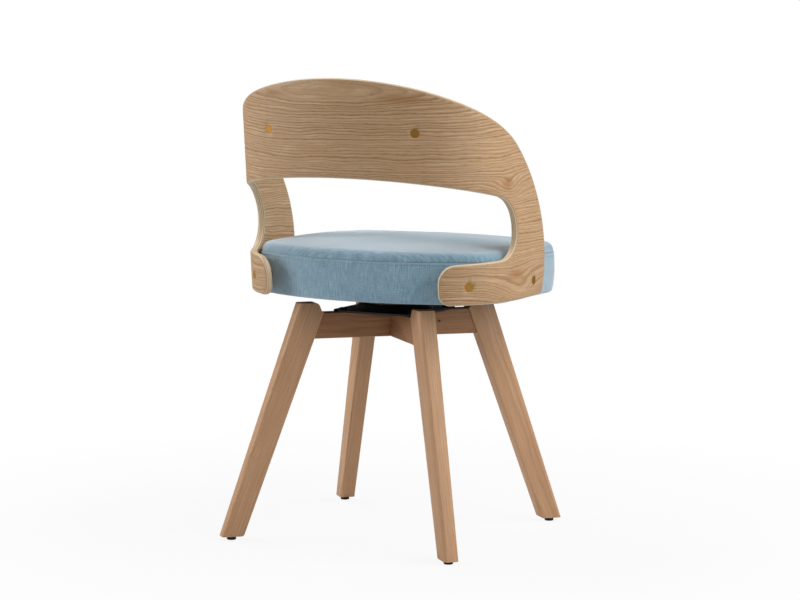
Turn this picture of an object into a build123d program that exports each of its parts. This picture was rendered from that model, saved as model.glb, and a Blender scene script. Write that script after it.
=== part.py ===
from build123d import *
from math import asin, cos, degrees, pi, radians, sin, sqrt, tan
import os

# Swivel dining chair, in millimetres. +Z is up, the sitter faces -Y, and Z is the swivel axis.
# The floor is z = 0. Left and right are the sitter's: left is +X.

# ---- wooden base ----
leg_over_rail = 16.0       # the legs' flat tops stand this far above the rails
leg_toe = 1.0              # the leg's curved top meets its inner face this far above the rails
foot_reach = 292.5         # swivel axis to the leg's outer edge at the floor end
foot_width = 36.6          # radial size of the leg at the floor end
foot_thick = 24.4
top_reach = 164.6          # swivel axis to the leg's outer edge at its top
top_width = 46.7
top_thick = 29.4
leg_outer_round = 7.0
leg_inner_round = 3.0
leg_top_flat = 27.0        # how far the flat top runs in from the outer edge
foot_inner_round = 7.0     # rounding where the inner face meets the floor end
foot_outer_round = 2.0
leg_angles = {"rear_left": 45.0, "rear_right": 135.0, "front_right": 225.0, "front_left": 315.0}

rail_top = 364.0
rail_height = 42.0
rail_thick = 22.0
rail_round = 2.0
lap_depth = rail_height / 2

dowel_d = 10.0
dowel_length = 50.0
dowel_inset = 11.0         # dowel axis from the rail's top and bottom
dowel_glue_gap = 1.0       # spare depth of the hole past the dowel's end

glide_d = 15.0
glide_h = 6.0
glide_round = 1.5
nail_d = 2.5
nail_grip = 22.0           # how far the nail goes into the leg
nail_head_d = 6.0
nail_head_t = 1.2
nail_recess = 2.6          # nail head below the glide's face

# ---- pressed steel swivel ----
swivel_height = 28.0
plate_side = 156.0
plate_corner = 18.0
plate_t = 3.0
bolt_edge = 16.0           # bolt axis from the plate's edges, over the cross rails
ring_land = 10.0           # from the balls' circle to where the raised ring starts, on its hollow side
ring_slope = 7.0           # radial run of the wall between flange and ring
ring_gap = 2.4             # gap between the two raised rings
ball_r = 3.95
ball_play = 0.07           # running clearance of a ball in its groove
ball_pitch_r = 44.0
ball_count = 24
cage_gap = 0.6             # between the cage and each raised ring
cage_width = 13.0
cage_play = 0.1
rivet_r = 13.9
rivet_wall = 3.9
rivet_lip = 5.1            # how far the flanges stand out past the shank
rivet_flange_t = 2.0
rivet_play = 0.07          # running clearance of the upper plate on the rivet
washer_t = 1.0
washer_play = 0.1

bolt_d = 6.0
bolt_hole_play = 0.4       # on the diameter, where a bolt passes through
bolt_head_d = 12.0
bolt_head_h = 3.5
socket_af = 4.0            # hexagon socket across the flats
socket_depth = 2.2
base_insert_wall = 2.0
base_insert_h = 15.0

# ---- seat ----
seat_half = 219.0
seat_rear = 150.0
seat_rear_arc = 355.0
seat_rear_corner = 80.0
seat_front = 218.9         # swivel axis to the middle of the front edge
seat_front_arc = 1500.0
seat_front_corner = 88.0
seam_height = 66.0         # boxing, from the seat's underside to the seam
crown_height = 19.0        # the middle of the top panel above the seam
crown_fall = 4.6           # the dome falls this far from its middle to the seat's sides
crown_strip = 1.6          # upright strip between the seam and the crown's rounded edge
crown_inset = 2.0          # the top panel starts this far inside the boxing's outline
cover_t = 1.0
hem_width = 30.0
dust_t = 0.8
dust_inset = 14.0
dust_plate_gap = 1.0
board_t = 15.0
board_inset = 6.0
# (height above the seat's underside, how far the outline is drawn in)
boxing_profile = ((0.0, 4.0), (9.0, 1.0), (seam_height / 2, -1.5), (seam_height - 8.0, 0.0),
                  (seam_height, crown_inset))

t_nut_flange_d = 19.0
t_nut_flange_t = 1.5
t_nut_wall = 1.0
t_nut_barrel_h = 12.0

block_h = 34.0
block_t = 24.0
block_inset = 3.0
block_past_screw = 65.0    # the block runs this far in front of the front tab screw
block_past_corner = 20.0   # and this far in from its rear block screw
block_screw_d = 4.0
block_screw_head_d = 8.0
block_screw_length = 40.0
block_screw_steps = (-50.0, 37.0)  # block screws in front of and behind the front tab screw
block_screw_turn = 85.0    # place of the third screw round the rear corner, in degrees from the side

# ---- bent plywood back ----
ply_t = 12.0
side_gap = 4.5             # between the seat's sides and the tabs
rear_gap = 25.8            # between the seat's rear and the shell's inner face, at lean_level
shell_rear_arc = 355.0
shell_corner_arc = 153.0
lean = 5.9                 # the back leans out by this angle
lean_over_seat = 37.0      # lean_level above the seat's underside
arm_over_seat = 79.0       # height above the seat's underside where the arms reach furthest forward
arm_reach = 416.0          # along the outer face from the middle of the back
arm_front_arc = 160.0
arm_front_turn = 27.0      # degrees of that arc below arm_level
arm_corner = 14.0
tab_end = 162.0            # the tabs stop here, along the outer face from the middle
tab_over_seat = 3.0        # the bottom edge above the seat's underside, 30 mm in front of the tab's end
tab_height = 63.0
tab_rise = 2.8             # the bottom edge climbs forwards, in degrees
tab_low_corner = 18.0
tab_high_corner = 32.0
arm_width = 105.0          # from the arm's front to the window's side
window_height = 126.2      # from the sill at the window's side to the top of its arch
window_top_arc = 1350.0
window_low_corner = 46.0
window_straight = 1.8      # straight piece of the window's side between its two corners
band_height = 155.0        # the band at its middle
curtain_over = 3.0         # how far the cutting surface stands past each face

screw_head_d = 14.5
screw_d = 6.0
screw_hole_play = 0.4
band_screw_inset = 26.5    # band screws in from the pad's ends
band_screw_rise = 7.0      # and above the pad's middle
tab_screw_rear_inset = 45.0
tab_screw_front_inset = 49.0
tab_screw_over_board = 15.0
spacer_d = 18.0
spacer_play = 0.8          # on the diameter, round the screw
side_insert_wall = 1.5
side_insert_length = 12.0
screw_tip = 4.0            # a screw's tip past its insert

# ---- back pad, on the inside of the band ----
pad_gap = 0.3
pad_over_window = 14.0
pad_under_top = 38.0
pad_turn = 25.5            # half of the pad's length, in degrees about the back's axis
pad_thick = 36.0
pad_core_t = 9.0
pad_core_inset = 8.0
pad_core_end = 1.9         # degrees by which the core ends before the pad
pad_crown = 16.0           # how far the front face swells between the pad's top and bottom
pad_round = 9.0
pad_end_round = 11.0
pad_t_nut_barrel_h = 8.0

# ---- worked out ----
leg_top = rail_top + leg_over_rail
bolt_spot = plate_side / 2 - bolt_edge
ring_outer = ball_pitch_r + ring_land
cage_t = ring_gap - 2 * cage_gap
rivet_bore_r = rivet_r - rivet_wall
rivet_flange_r = rivet_r + rivet_lip
base_insert_d = bolt_d + 2 * base_insert_wall
t_nut_barrel_d = bolt_d + 2 * t_nut_wall
spacer_bore = screw_d + spacer_play
side_insert_d = screw_d + 2 * side_insert_wall
crown_dome_r = (seat_half ** 2 + crown_fall ** 2) / (2 * crown_fall)
crown_round = crown_height - crown_fall - crown_strip
swivel_mid = rail_top + swivel_height / 2
board_low = rail_top + swivel_height
board_high = board_low + board_t
seat_bottom = board_low - cover_t
flange_top = rail_top + plate_t
leg_run = leg_top - glide_h
shell_half = seat_half + side_gap + ply_t
shell_rear = seat_rear + rear_gap + ply_t      # swivel axis to the outer face at the back, at lean_level
lean_level = seat_bottom + lean_over_seat
arm_level = seat_bottom + arm_over_seat
tab_low = seat_bottom + tab_over_seat
window_side = arm_reach - arm_width
corner_turn = asin((shell_half - shell_corner_arc) / (shell_rear_arc - shell_corner_arc))
corner_start = shell_rear_arc * corner_turn
corner_end = corner_start + shell_corner_arc * (pi / 2 - corner_turn)
rear_axis_y = shell_rear - shell_rear_arc
corner_axis_x = shell_half - shell_corner_arc
corner_axis_y = rear_axis_y + (shell_rear_arc - shell_corner_arc) * cos(corner_turn)
lean_slope = tan(radians(lean))
tab_screw_s = (tab_end + tab_screw_rear_inset, arm_reach - tab_screw_front_inset)
tab_screw_z = board_high + tab_screw_over_board
sill = tab_low + (window_side - tab_end - 30.0) * tan(radians(tab_rise)) + tab_height
window_top = sill + window_height
band_top = window_top + band_height
pad_low = window_top + pad_over_window
pad_high = band_top - pad_under_top
pad_core_turn = pad_turn - pad_core_end
pad_edge_thick = pad_thick - pad_crown
band_screw_s = shell_rear_arc * radians(pad_turn) - band_screw_inset
band_screw_z = (pad_low + pad_high) / 2 + band_screw_rise


def solid_of(shape):
    """The shape's one solid, or a compound of its solids when it has several."""
    solids = shape.solids()
    return solids[0] if len(solids) == 1 else Compound(solids)


def spun(shape, angle):
    return Rot(0, 0, angle) * shape


# ---- legs, rails, dowels, glides ----

def leg_outer_r(z):
    return foot_reach + (top_reach - foot_reach) * (z - glide_h) / leg_run


def leg_inner_r(z):
    foot = foot_reach - foot_width
    top = top_reach - top_width
    return foot + (top - foot) * (z - glide_h) / leg_run


def leg_section(z, width, thick):
    """Rounded section of a leg on the +X axis."""
    face = Rectangle(width, thick)
    face = fillet(face.vertices().group_by(Axis.X)[-1], leg_outer_round)
    face = fillet(face.vertices().group_by(Axis.X)[0], leg_inner_round)
    return Pos((leg_inner_r(z) + leg_outer_r(z)) / 2, 0, z) * face


def dowel_levels():
    return (rail_top - dowel_inset, rail_top - rail_height + dowel_inset)


def dowel_rod(z, spare):
    """One dowel on the +X axis, across the joint between rail and leg."""
    rod = Cylinder(dowel_d / 2, dowel_length + 2 * spare)
    return Pos(leg_inner_r(z), 0, z) * Rot(0, 90, 0) * rod


def nail_rod():
    foot_mid = foot_reach - foot_width / 2
    length = glide_h - nail_recess + nail_grip
    rod = Cylinder(nail_d / 2, length, align=(Align.CENTER, Align.CENTER, Align.MIN))
    head = Cylinder(nail_head_d / 2, nail_head_t, align=(Align.CENTER, Align.CENTER, Align.MIN))
    return Pos(foot_mid, 0, nail_recess) * (rod + head)


def foot_corner(radius, side):
    """What rounding takes off one corner of the floor end, seen from the side. side is 1 outer, -1 inner."""
    at = leg_outer_r(glide_h) if side > 0 else leg_inner_r(glide_h)
    slope = (top_reach - foot_reach) / leg_run if side > 0 else \
        (top_reach - top_width - foot_reach + foot_width) / leg_run
    along = Vector(slope, 1).normalized()
    out = Vector(1, -slope).normalized() * side
    run = radius * (1 - out.Y) / along.Y
    on_side = Vector(at, glide_h) + along * run
    middle = on_side - out * radius
    kite = Polygon(*[(v.X, v.Y) for v in (middle, on_side, on_side + out * 3,
                                          Vector(at, glide_h) + out * 3 - Vector(0, 3),
                                          Vector(middle.X, glide_h - 3))], align=None)
    return kite - Pos(middle.X, middle.Y) * Circle(radius)


def leg():
    """A splayed, tapered leg on the +X axis, flat on the floor end, its top sloped down to the rail."""
    body = loft([leg_section(glide_h, foot_width, foot_thick), leg_section(leg_top, top_width, top_thick)],
                ruled=True)
    flat_end = leg_outer_r(leg_top) - leg_top_flat
    low = rail_top + leg_toe
    inner = leg_inner_r(low)
    shoulder = Spline((inner, low), (flat_end, leg_top), tangents=[(1, 0.2), (1, 0)])
    wedge = make_face([shoulder, Line((flat_end, leg_top), (flat_end, leg_top + 5)),
                       Line((flat_end, leg_top + 5), (inner - top_width, leg_top + 5)),
                       Line((inner - top_width, leg_top + 5), (inner - top_width, low)),
                       Line((inner - top_width, low), (inner, low))])
    for cut in (wedge, foot_corner(foot_inner_round, -1), foot_corner(foot_outer_round, 1)):
        body = body - extrude(Plane.XZ * cut, top_thick, both=True)
    for z in dowel_levels():
        body = body - dowel_rod(z, dowel_glue_gap)
    return solid_of(body - nail_rod())


def rail(lap_from_top):
    """One cross rail along X, its ends cut to the slope of the legs' inner faces, with the half lap."""
    low = rail_top - rail_height
    side = Polygon((-leg_inner_r(low), low), (leg_inner_r(low), low),
                   (leg_inner_r(rail_top), rail_top), (-leg_inner_r(rail_top), rail_top), align=None)
    body = extrude(Plane.XZ * side, rail_thick / 2, both=True)
    long_edges = body.edges().filter_by(Axis.X)
    body = fillet(long_edges, rail_round)
    lap_z = rail_top if lap_from_top else low
    lap = Pos(0, 0, lap_z) * Box(rail_thick, rail_thick + 2, 2 * lap_depth)
    body = body - lap
    for end in (0, 180):
        for z in dowel_levels():
            body = body - spun(dowel_rod(z, dowel_glue_gap), end)
        body = body - spun(Pos(bolt_reach(), 0, 0) * base_insert_blank(), end)
    return solid_of(body)


def leg_dowels():
    rods = [spun(dowel_rod(z, 0), a) for a in leg_angles.values() for z in dowel_levels()]
    return Compound([solid_of(r) for r in rods])


def floor_glides():
    glide = Cylinder(glide_d / 2, glide_h, align=(Align.CENTER, Align.CENTER, Align.MIN))
    glide = fillet(glide.edges().group_by(Axis.Z)[0], glide_round)
    well = Cylinder(nail_head_d / 2, nail_recess, align=(Align.CENTER, Align.CENTER, Align.MIN))
    glide = Pos(foot_reach - foot_width / 2, 0, 0) * (glide - well) - nail_rod()
    return Compound([solid_of(spun(glide, a)) for a in leg_angles.values()])


def glide_nails():
    return Compound([solid_of(spun(nail_rod(), a)) for a in leg_angles.values()])


# ---- swivel ----

def bolt_reach():
    return bolt_spot * sqrt(2)


def corners(shape):
    """The shape on the +X axis, repeated on the four diagonals."""
    return [spun(shape, a) for a in leg_angles.values()]


def cap_bolt(length, tip_up):
    """A button-head bolt with a hexagon socket: seat face at z = 0, shank up or down."""
    head = Cylinder(bolt_head_d / 2, bolt_head_h, align=(Align.CENTER, Align.CENTER, Align.MIN))
    head = fillet(head.edges().group_by(Axis.Z)[-1], bolt_head_h / 3)
    socket = extrude(Plane.XY.offset(bolt_head_h - socket_depth) * RegularPolygon(socket_af / sqrt(3), 6),
                     socket_depth)
    shank = Cylinder(bolt_d / 2, length, align=(Align.CENTER, Align.CENTER, Align.MAX))
    bolt = head - socket + shank
    return Rot(180, 0, 0) * bolt if tip_up else bolt


def plate_profile():
    """Half section of the lower pressing, to turn about Z: flange edge, sloped wall, ring with ball groove."""
    top = swivel_mid - ring_gap / 2
    low = top - plate_t
    strip = Polygon((ring_outer + ring_slope + 5, rail_top), (ring_outer + ring_slope, rail_top),
                    (ring_outer, low), (rivet_r, low), (rivet_r, top), (ring_outer + plate_t * 0.8, top),
                    (ring_outer + ring_slope + plate_t * 0.8, flange_top),
                    (ring_outer + ring_slope + 5, flange_top), align=None)
    groove_r = ball_r + ball_play
    under = Pos(ball_pitch_r, swivel_mid) * Circle(groove_r + plate_t)
    below = Pos(ball_pitch_r, low) * Rectangle(4 * groove_r, 2 * plate_t)
    return strip + (under & below) - Pos(ball_pitch_r, swivel_mid) * Circle(groove_r)


def swivel_lower_plate():
    ring = revolve(Plane.XZ * plate_profile(), Axis.Z)
    flange = extrude(Plane.XY.offset(rail_top) * RectangleRounded(plate_side, plate_side, plate_corner), plate_t)
    flange = flange - Pos(0, 0, flange_top) * Cylinder(ring_outer + ring_slope + 4, 4 * plate_t)
    hole = Pos(bolt_reach(), 0, rail_top) * Cylinder((bolt_d + bolt_hole_play) / 2, 4 * plate_t)
    plate = ring + flange
    for h in corners(hole):
        plate = plate - h
    return solid_of(plate)


def swivel_upper_plate():
    plate = mirror(swivel_lower_plate(), Plane.XY.offset(swivel_mid))
    bore = Pos(0, 0, swivel_mid) * Cylinder(rivet_r + rivet_play, swivel_height)
    return solid_of(plate - bore)


def ball_places():
    return [360.0 * i / ball_count for i in range(ball_count)]


def swivel_balls():
    ball = Pos(ball_pitch_r, 0, swivel_mid) * Sphere(ball_r)
    return Compound([solid_of(spun(ball, a)) for a in ball_places()])


def ball_cage():
    cage = Cylinder(ball_pitch_r + cage_width / 2, cage_t) - Cylinder(ball_pitch_r - cage_width / 2, cage_t)
    hole = Pos(ball_pitch_r, 0, 0) * Cylinder(ball_r + cage_play, 2 * cage_t)
    for a in ball_places():
        cage = cage - spun(hole, a)
    return solid_of(Pos(0, 0, swivel_mid) * cage)


def ring_face():
    """Height of a raised ring's outer face from the swivel's middle plane."""
    return ring_gap / 2 + plate_t


def rivet_washer():
    low = swivel_mid + ring_face() + washer_play
    washer = Cylinder(rivet_flange_r, washer_t) - Cylinder(rivet_r, 2 * washer_t)
    return solid_of(Pos(0, 0, low + washer_t / 2) * washer)


def swivel_rivet():
    low = swivel_mid - ring_face()
    high = swivel_mid + ring_face() + washer_play + washer_t
    shank = Pos(0, 0, (low + high) / 2) * Cylinder(rivet_r, high - low)
    flange = Cylinder(rivet_flange_r, rivet_flange_t)
    body = shank + Pos(0, 0, low - rivet_flange_t / 2) * flange + Pos(0, 0, high + rivet_flange_t / 2) * flange
    return solid_of(body - Pos(0, 0, swivel_mid) * Cylinder(rivet_bore_r, swivel_height))


def base_insert_blank():
    return Pos(0, 0, rail_top) * Cylinder(base_insert_d / 2, base_insert_h,
                                          align=(Align.CENTER, Align.CENTER, Align.MAX))


def base_bolt():
    return Pos(bolt_reach(), 0, flange_top) * cap_bolt(plate_t + base_insert_h, False)


def base_inserts():
    insert = Pos(bolt_reach(), 0, 0) * base_insert_blank() - base_bolt()
    return Compound([solid_of(i) for i in corners(insert)])


def base_bolts():
    return Compound([solid_of(b) for b in corners(base_bolt())])


# ---- seat ----

def outline(drawn_in, z):
    """The seat's outline as a face at height z: bowed back and front, straight sides, four round corners."""
    half = seat_half - drawn_in
    arcs = []
    for end, edge, big, small in ((1, seat_rear, seat_rear_arc, seat_rear_corner),
                                  (-1, seat_front, seat_front_arc, seat_front_corner)):
        reach = edge - drawn_in
        big_r = big - drawn_in
        small_r = small - drawn_in
        axis_y = reach - big_r
        turn = asin((half - small_r) / (big_r - small_r))
        corner_y = axis_y + (big_r - small_r) * cos(turn)
        arcs.append((end, axis_y, big_r, small_r, degrees(turn), corner_y))
    (_, ry, rb, rs, rt, rc), (_, fy, fb, fs, ft, fc) = arcs
    edges = [CenterArc((0, ry), rb, 90 - rt, 2 * rt),
             CenterArc((rs - half, rc), rs, 90 + rt, 90 - rt),
             Line((-half, rc), (-half, -fc)),
             CenterArc((fs - half, -fc), fs, 180, 90 - ft),
             CenterArc((0, -fy), fb, 270 - ft, 2 * ft),
             CenterArc((half - fs, -fc), fs, 270 + ft, 90 - ft),
             Line((half, -fc), (half, rc)),
             CenterArc((half - rs, rc), rs, 0, 90 - rt)]
    return Pos(0, 0, z) * make_face(edges)


def slab(drawn_in, low, height):
    return extrude(outline(drawn_in, low), height)


def cushion(skin):
    """The upholstered seat, drawn in by skin all round: bulged boxing, seam, crowned top panel."""
    squeeze = (seam_height - skin) / seam_height
    seam_z = seat_bottom + seam_height
    boxing = loft([outline(inset + skin, seat_bottom + skin + h * squeeze) for h, inset in boxing_profile])
    dome = Pos(0, (seat_rear - seat_front) / 2, seam_z + crown_height - skin - crown_dome_r) * Sphere(crown_dome_r)
    crown = slab(crown_inset + skin, seam_z, 2 * crown_height) & dome
    crown = fillet(crown.faces().sort_by(Axis.Z)[-1].edges(), crown_round - skin)
    return boxing + crown


def t_nut(barrel_h):
    """Flange face down on z = 0, barrel below it, bore for the bolt."""
    flange = Cylinder(t_nut_flange_d / 2, t_nut_flange_t, align=(Align.CENTER, Align.CENTER, Align.MIN))
    barrel = Cylinder(t_nut_barrel_d / 2, barrel_h, align=(Align.CENTER, Align.CENTER, Align.MAX))
    return flange + barrel - Cylinder(bolt_d / 2, 4 * barrel_h)


def seat_bolt():
    return Pos(bolt_reach(), 0, board_low - plate_t) * cap_bolt(plate_t + board_t + t_nut_flange_t, True)


def seat_bolts():
    return Compound([solid_of(b) for b in corners(seat_bolt())])


def seat_t_nut():
    return Pos(bolt_reach(), 0, board_high) * t_nut(t_nut_barrel_h)


def seat_t_nuts():
    return Compound([solid_of(n) for n in corners(seat_t_nut())])


def wood_screw():
    """Countersunk screw, head face at z = 0, shank upwards."""
    head = Cone(block_screw_head_d / 2, block_screw_d / 2, (block_screw_head_d - block_screw_d) / 2,
                align=(Align.CENTER, Align.CENTER, Align.MIN))
    shank = Cylinder(block_screw_d / 2, block_screw_length, align=(Align.CENTER, Align.CENTER, Align.MIN))
    return head + shank


def front_tab_y():
    """Y of the tab screw nearest the seat's front."""
    return bend(tab_screw_s[1], tab_screw_z, 0).Y


def block_screw_places():
    """Places on the left side; the right side mirrors them."""
    mid = block_inset + block_t / 2
    tab_y = front_tab_y()
    x = seat_half - mid
    corner_y = seat_rear - seat_rear_arc + sqrt((seat_rear_arc - seat_rear_corner) ** 2
                                                - (seat_half - seat_rear_corner) ** 2)
    r = seat_rear_corner - mid
    k = radians(block_screw_turn)
    places = [(x, tab_y + step) for step in block_screw_steps]
    return places + [(seat_half - seat_rear_corner + r * cos(k), corner_y + r * sin(k))]


def block_screws():
    rods = [Pos(side * x, y, board_low) * wood_screw() for side in (1, -1) for x, y in block_screw_places()]
    return Compound([solid_of(r) for r in rods])


def seat_board():
    board = slab(board_inset, board_low, board_t)
    hole = Pos(bolt_reach(), 0, board_low) * Cylinder((bolt_d + bolt_hole_play) / 2, 4 * board_t)
    for cutter in corners(hole) + corners(seat_t_nut()):
        board = board - cutter
    return solid_of(board - block_screws())


def side_block_blank(side):
    """A block on the board's edge behind the cover, before drilling. side is 1 left, -1 right."""
    body = slab(block_inset, board_high, block_h) - slab(block_inset + block_t, board_high, block_h)
    front = front_tab_y() - block_past_screw
    rear_x = block_screw_places()[-1][0] - block_past_corner
    room = Box(seat_half, seat_rear - front, 4 * block_h, align=(Align.MIN, Align.MIN, Align.CENTER))
    room = Pos(rear_x, front, board_high) * room
    return body & (room if side > 0 else mirror(room, Plane.YZ))


def side_block(side):
    """The wooden block that takes a tab's two screws."""
    body = side_block_blank(side)
    for cutter in (block_screws(), side_inserts(), side_screws()):
        body = body - cutter
    return solid_of(body)


def seat_cover():
    hem_hole = slab(board_inset + hem_width, seat_bottom - 1, cover_t + 2)
    body = cushion(0) - cushion(cover_t) - hem_hole
    return solid_of(body - tab_drills(screw_d + screw_hole_play))


def seat_foam():
    body = cushion(cover_t) - slab(board_inset, board_low, board_t)
    nut = Pos(bolt_reach(), 0, board_high) * Cylinder(t_nut_flange_d / 2, 2 * t_nut_flange_t)
    for cutter in corners(nut) + [side_block_blank(1), side_block_blank(-1), side_inserts()]:
        body = body - cutter
    return solid_of(body - tab_drills(screw_d + screw_hole_play))


def dust_cover():
    sheet = slab(board_inset + dust_inset, seat_bottom - dust_t, dust_t)
    side = plate_side + 2 * dust_plate_gap
    hole = extrude(Plane.XY.offset(seat_bottom - 1) * RectangleRounded(side, side, plate_corner), 4)
    return solid_of(sheet - hole)


# ---- bent plywood back ----

def bend(s, z, depth):
    """Where a point of the flat blank lies once bent: s along the outer face, depth inwards from it."""
    side = 1 if s >= 0 else -1
    run = abs(s)
    y_lean = (z - lean_level) * lean_slope
    if run <= corner_start:
        k = run / shell_rear_arc
        r = shell_rear_arc - depth
        return Vector(side * r * sin(k), rear_axis_y + r * cos(k) + y_lean, z)
    if run <= corner_end:
        k = corner_turn + (run - corner_start) / shell_corner_arc
        r = shell_corner_arc - depth
        return Vector(side * (corner_axis_x + r * sin(k)), corner_axis_y + r * cos(k) + y_lean, z)
    return Vector(side * (shell_half - depth), corner_axis_y - (run - corner_end) + y_lean, z)


def face_turn(s):
    """How far the outer face has turned from the back towards the side at s, in radians."""
    run = abs(s)
    if run <= corner_start:
        return run / shell_rear_arc
    return min(corner_turn + (run - corner_start) / shell_corner_arc, pi / 2)


def skin_plane(s, z):
    """A plane on the outer face at (s, z), its normal pointing outwards."""
    k = face_turn(s)
    side = 1 if s >= 0 else -1
    return Plane(bend(s, z, 0), x_dir=(side * cos(k), -sin(k), 0),
                 z_dir=(side * sin(k), cos(k), -lean_slope * cos(k)))


def bottom_edge(s):
    return tab_low + (s - tab_end - 30) * tan(radians(tab_rise))


def window_edge(s):
    return window_top - (window_top_arc - sqrt(window_top_arc ** 2 - s ** 2))


def window_high_corner():
    """Radius that fills the window's side above its lower corner, less window_straight."""
    side = window_edge(window_side) - sill
    low_run = window_low_corner * tan(radians(45 - tab_rise / 2))
    slope = asin(window_side / window_top_arc)
    return (side - low_run - window_straight) * tan(pi / 4 + slope / 2)


def corner_at(face, x, y):
    return [v for v in face.vertices() if (v.center() - Vector(x, y, 0)).length < 1]


def flat_blank():
    """The flat blank: arched band, arms, tabs and the window that opens down between the tabs."""
    top = EllipticalCenterArc((0, arm_level), arm_reach, band_top - arm_level, start_angle=0, arc_size=90)
    arm = CenterArc((arm_reach - arm_front_arc, arm_level), arm_front_arc, 0, -arm_front_turn)
    low_front = arm @ 1
    low_rear = (tab_end, bottom_edge(tab_end))
    high_rear = (tab_end, bottom_edge(tab_end) + tab_height)
    low_side = (window_side, sill)
    head = (window_side, window_edge(window_side))
    edges = [top, arm, Line(low_front, low_rear), Line(low_rear, high_rear), Line(high_rear, low_side),
             Line(low_side, head),
             ThreePointArc(head, (window_side / 2, window_edge(window_side / 2)), (0, window_top)),
             Line((0, window_top), (0, band_top))]
    face = make_face(edges)
    for x, y, r in ((low_front.X, low_front.Y, arm_corner), (*low_rear, tab_low_corner),
                    (*high_rear, tab_high_corner), (*low_side, window_low_corner), (*head, window_high_corner())):
        face = fillet(corner_at(face, x, y), r)
    return face + mirror(face, Plane.YZ)


def bent_edge(edge, depth, steps=16):
    spots = [edge @ (i / steps) for i in range(steps + 1)]
    return Spline(*[bend(p.X, p.Y, depth) for p in spots])


def wall_line(depth, front_y):
    """The bent wall's plan line at one depth, from the left arm round to the right arm."""
    turn = degrees(corner_turn)
    r = shell_corner_arc - depth
    x = shell_half - depth
    return [Line((x, front_y), (x, corner_axis_y)),
            CenterArc((corner_axis_x, corner_axis_y), r, 0, 90 - turn),
            CenterArc((0, rear_axis_y), shell_rear_arc - depth, 90 - turn, 2 * turn),
            CenterArc((-corner_axis_x, corner_axis_y), r, 90 + turn, 90 - turn),
            Line((-x, corner_axis_y), (-x, front_y))]


def back_blank():
    """The bent and cut plywood before its screw holes are drilled."""
    low = bottom_edge(tab_end) - 20
    high = band_top + 20
    front_y = corner_axis_y - (arm_reach - corner_end) - 20
    ends = [Line((side * shell_half, front_y), (side * (shell_half - ply_t), front_y)) for side in (1, -1)]
    plan = make_face(wall_line(0, front_y) + wall_line(ply_t, front_y) + ends)
    plan = Pos(0, (low - lean_level) * lean_slope, low) * plan
    wall = extrude(plan, (high - low) / cos(radians(lean)), dir=(0, sin(radians(lean)), cos(radians(lean))))
    curtains = [Face.make_surface_from_curves(bent_edge(e, -curtain_over), bent_edge(e, ply_t + curtain_over))
                for e in flat_blank().faces()[0].outer_wire().edges()]
    parts = split(wall, bisect_by=Shell(curtains), keep=Keep.ALL).solids()
    middle = bend(0, (window_top + band_top) / 2, ply_t / 2)
    return [p for p in parts if p.is_inside(middle)][0]


def flat_screw(length):
    """Flat-headed screw with a hexagon socket: head face at z = 0, shank down."""
    cone_h = (screw_head_d - screw_d) / 2
    head = Cone(screw_d / 2, screw_head_d / 2, cone_h, align=(Align.CENTER, Align.CENTER, Align.MAX))
    shank = Cylinder(screw_d / 2, length, align=(Align.CENTER, Align.CENTER, Align.MAX))
    socket = extrude(RegularPolygon(socket_af / sqrt(3), 6), -socket_depth)
    return head + shank - socket


def drill(plane, diameter, depth):
    return plane * Cylinder(diameter / 2, depth, align=(Align.CENTER, Align.CENTER, Align.MAX))


def tab_planes():
    return [skin_plane(side * s, tab_screw_z) for side in (1, -1) for s in tab_screw_s]


def band_planes():
    return [skin_plane(side * band_screw_s, band_screw_z) for side in (1, -1)]


def block_depth(plane):
    """Distance from the shell's outer face to the side block's outer face, along a tab screw."""
    ray = Edge.make_line(plane.origin, plane.origin - plane.z_dir * seat_half)
    block = slab(block_inset, board_high, block_h)
    inside = ray & block
    return seat_half - sum(e.length for e in inside.edges())


def side_screw_length(plane):
    return block_depth(plane) + side_insert_length + screw_tip


def tab_drills(diameter):
    rods = [drill(p, diameter, side_screw_length(p)) for p in tab_planes()]
    return Compound([solid_of(r) for r in rods])


def side_screws():
    screws = [p * flat_screw(side_screw_length(p)) for p in tab_planes()]
    return Compound([solid_of(s) for s in screws])


def side_inserts():
    inserts = []
    for p in tab_planes():
        tube = Cylinder(side_insert_d / 2, side_insert_length, align=(Align.CENTER, Align.CENTER, Align.MAX))
        inserts.append(p * (Pos(0, 0, -block_depth(p)) * tube) - drill(p, screw_d, side_screw_length(p)))
    return Compound([solid_of(i) for i in inserts])


def shell_spacers(shell, cover):
    """Washers that stand between the tabs and the upholstered sides."""
    rings = []
    for p in tab_planes():
        ring = Circle(spacer_d / 2) - Circle(spacer_bore / 2)
        ring = p * extrude(Pos(0, 0, -block_depth(p)) * ring, block_depth(p) - ply_t / 2)
        pieces = (ring - shell - cover).solids()
        rings.append(min(pieces, key=lambda s: (s.center() - p.origin).length))
    return Compound(rings)


def back_screw_length():
    return ply_t + pad_gap + cover_t + pad_core_t + t_nut_flange_t


def back_screws():
    return Compound([solid_of(p * flat_screw(back_screw_length())) for p in band_planes()])


def back_shell():
    shell = back_blank()
    cone_h = (screw_head_d - screw_d) / 2
    for p in tab_planes() + band_planes():
        sink = Cone(screw_d / 2, screw_head_d / 2, cone_h, align=(Align.CENTER, Align.CENTER, Align.MAX))
        above = Cylinder(screw_head_d / 2, 2, align=(Align.CENTER, Align.CENTER, Align.MIN))
        shell = shell - p * (sink + above) - drill(p, screw_d + screw_hole_play, 2 * ply_t)
    return solid_of(shell)


# ---- back pad ----

def leaned(shape):
    """Tip an upright shape to the back's lean about the rear of the inner face."""
    axis = Axis((0, shell_rear - ply_t, lean_level), (1, 0, 0))
    return shape.rotate(axis, -lean)


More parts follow.
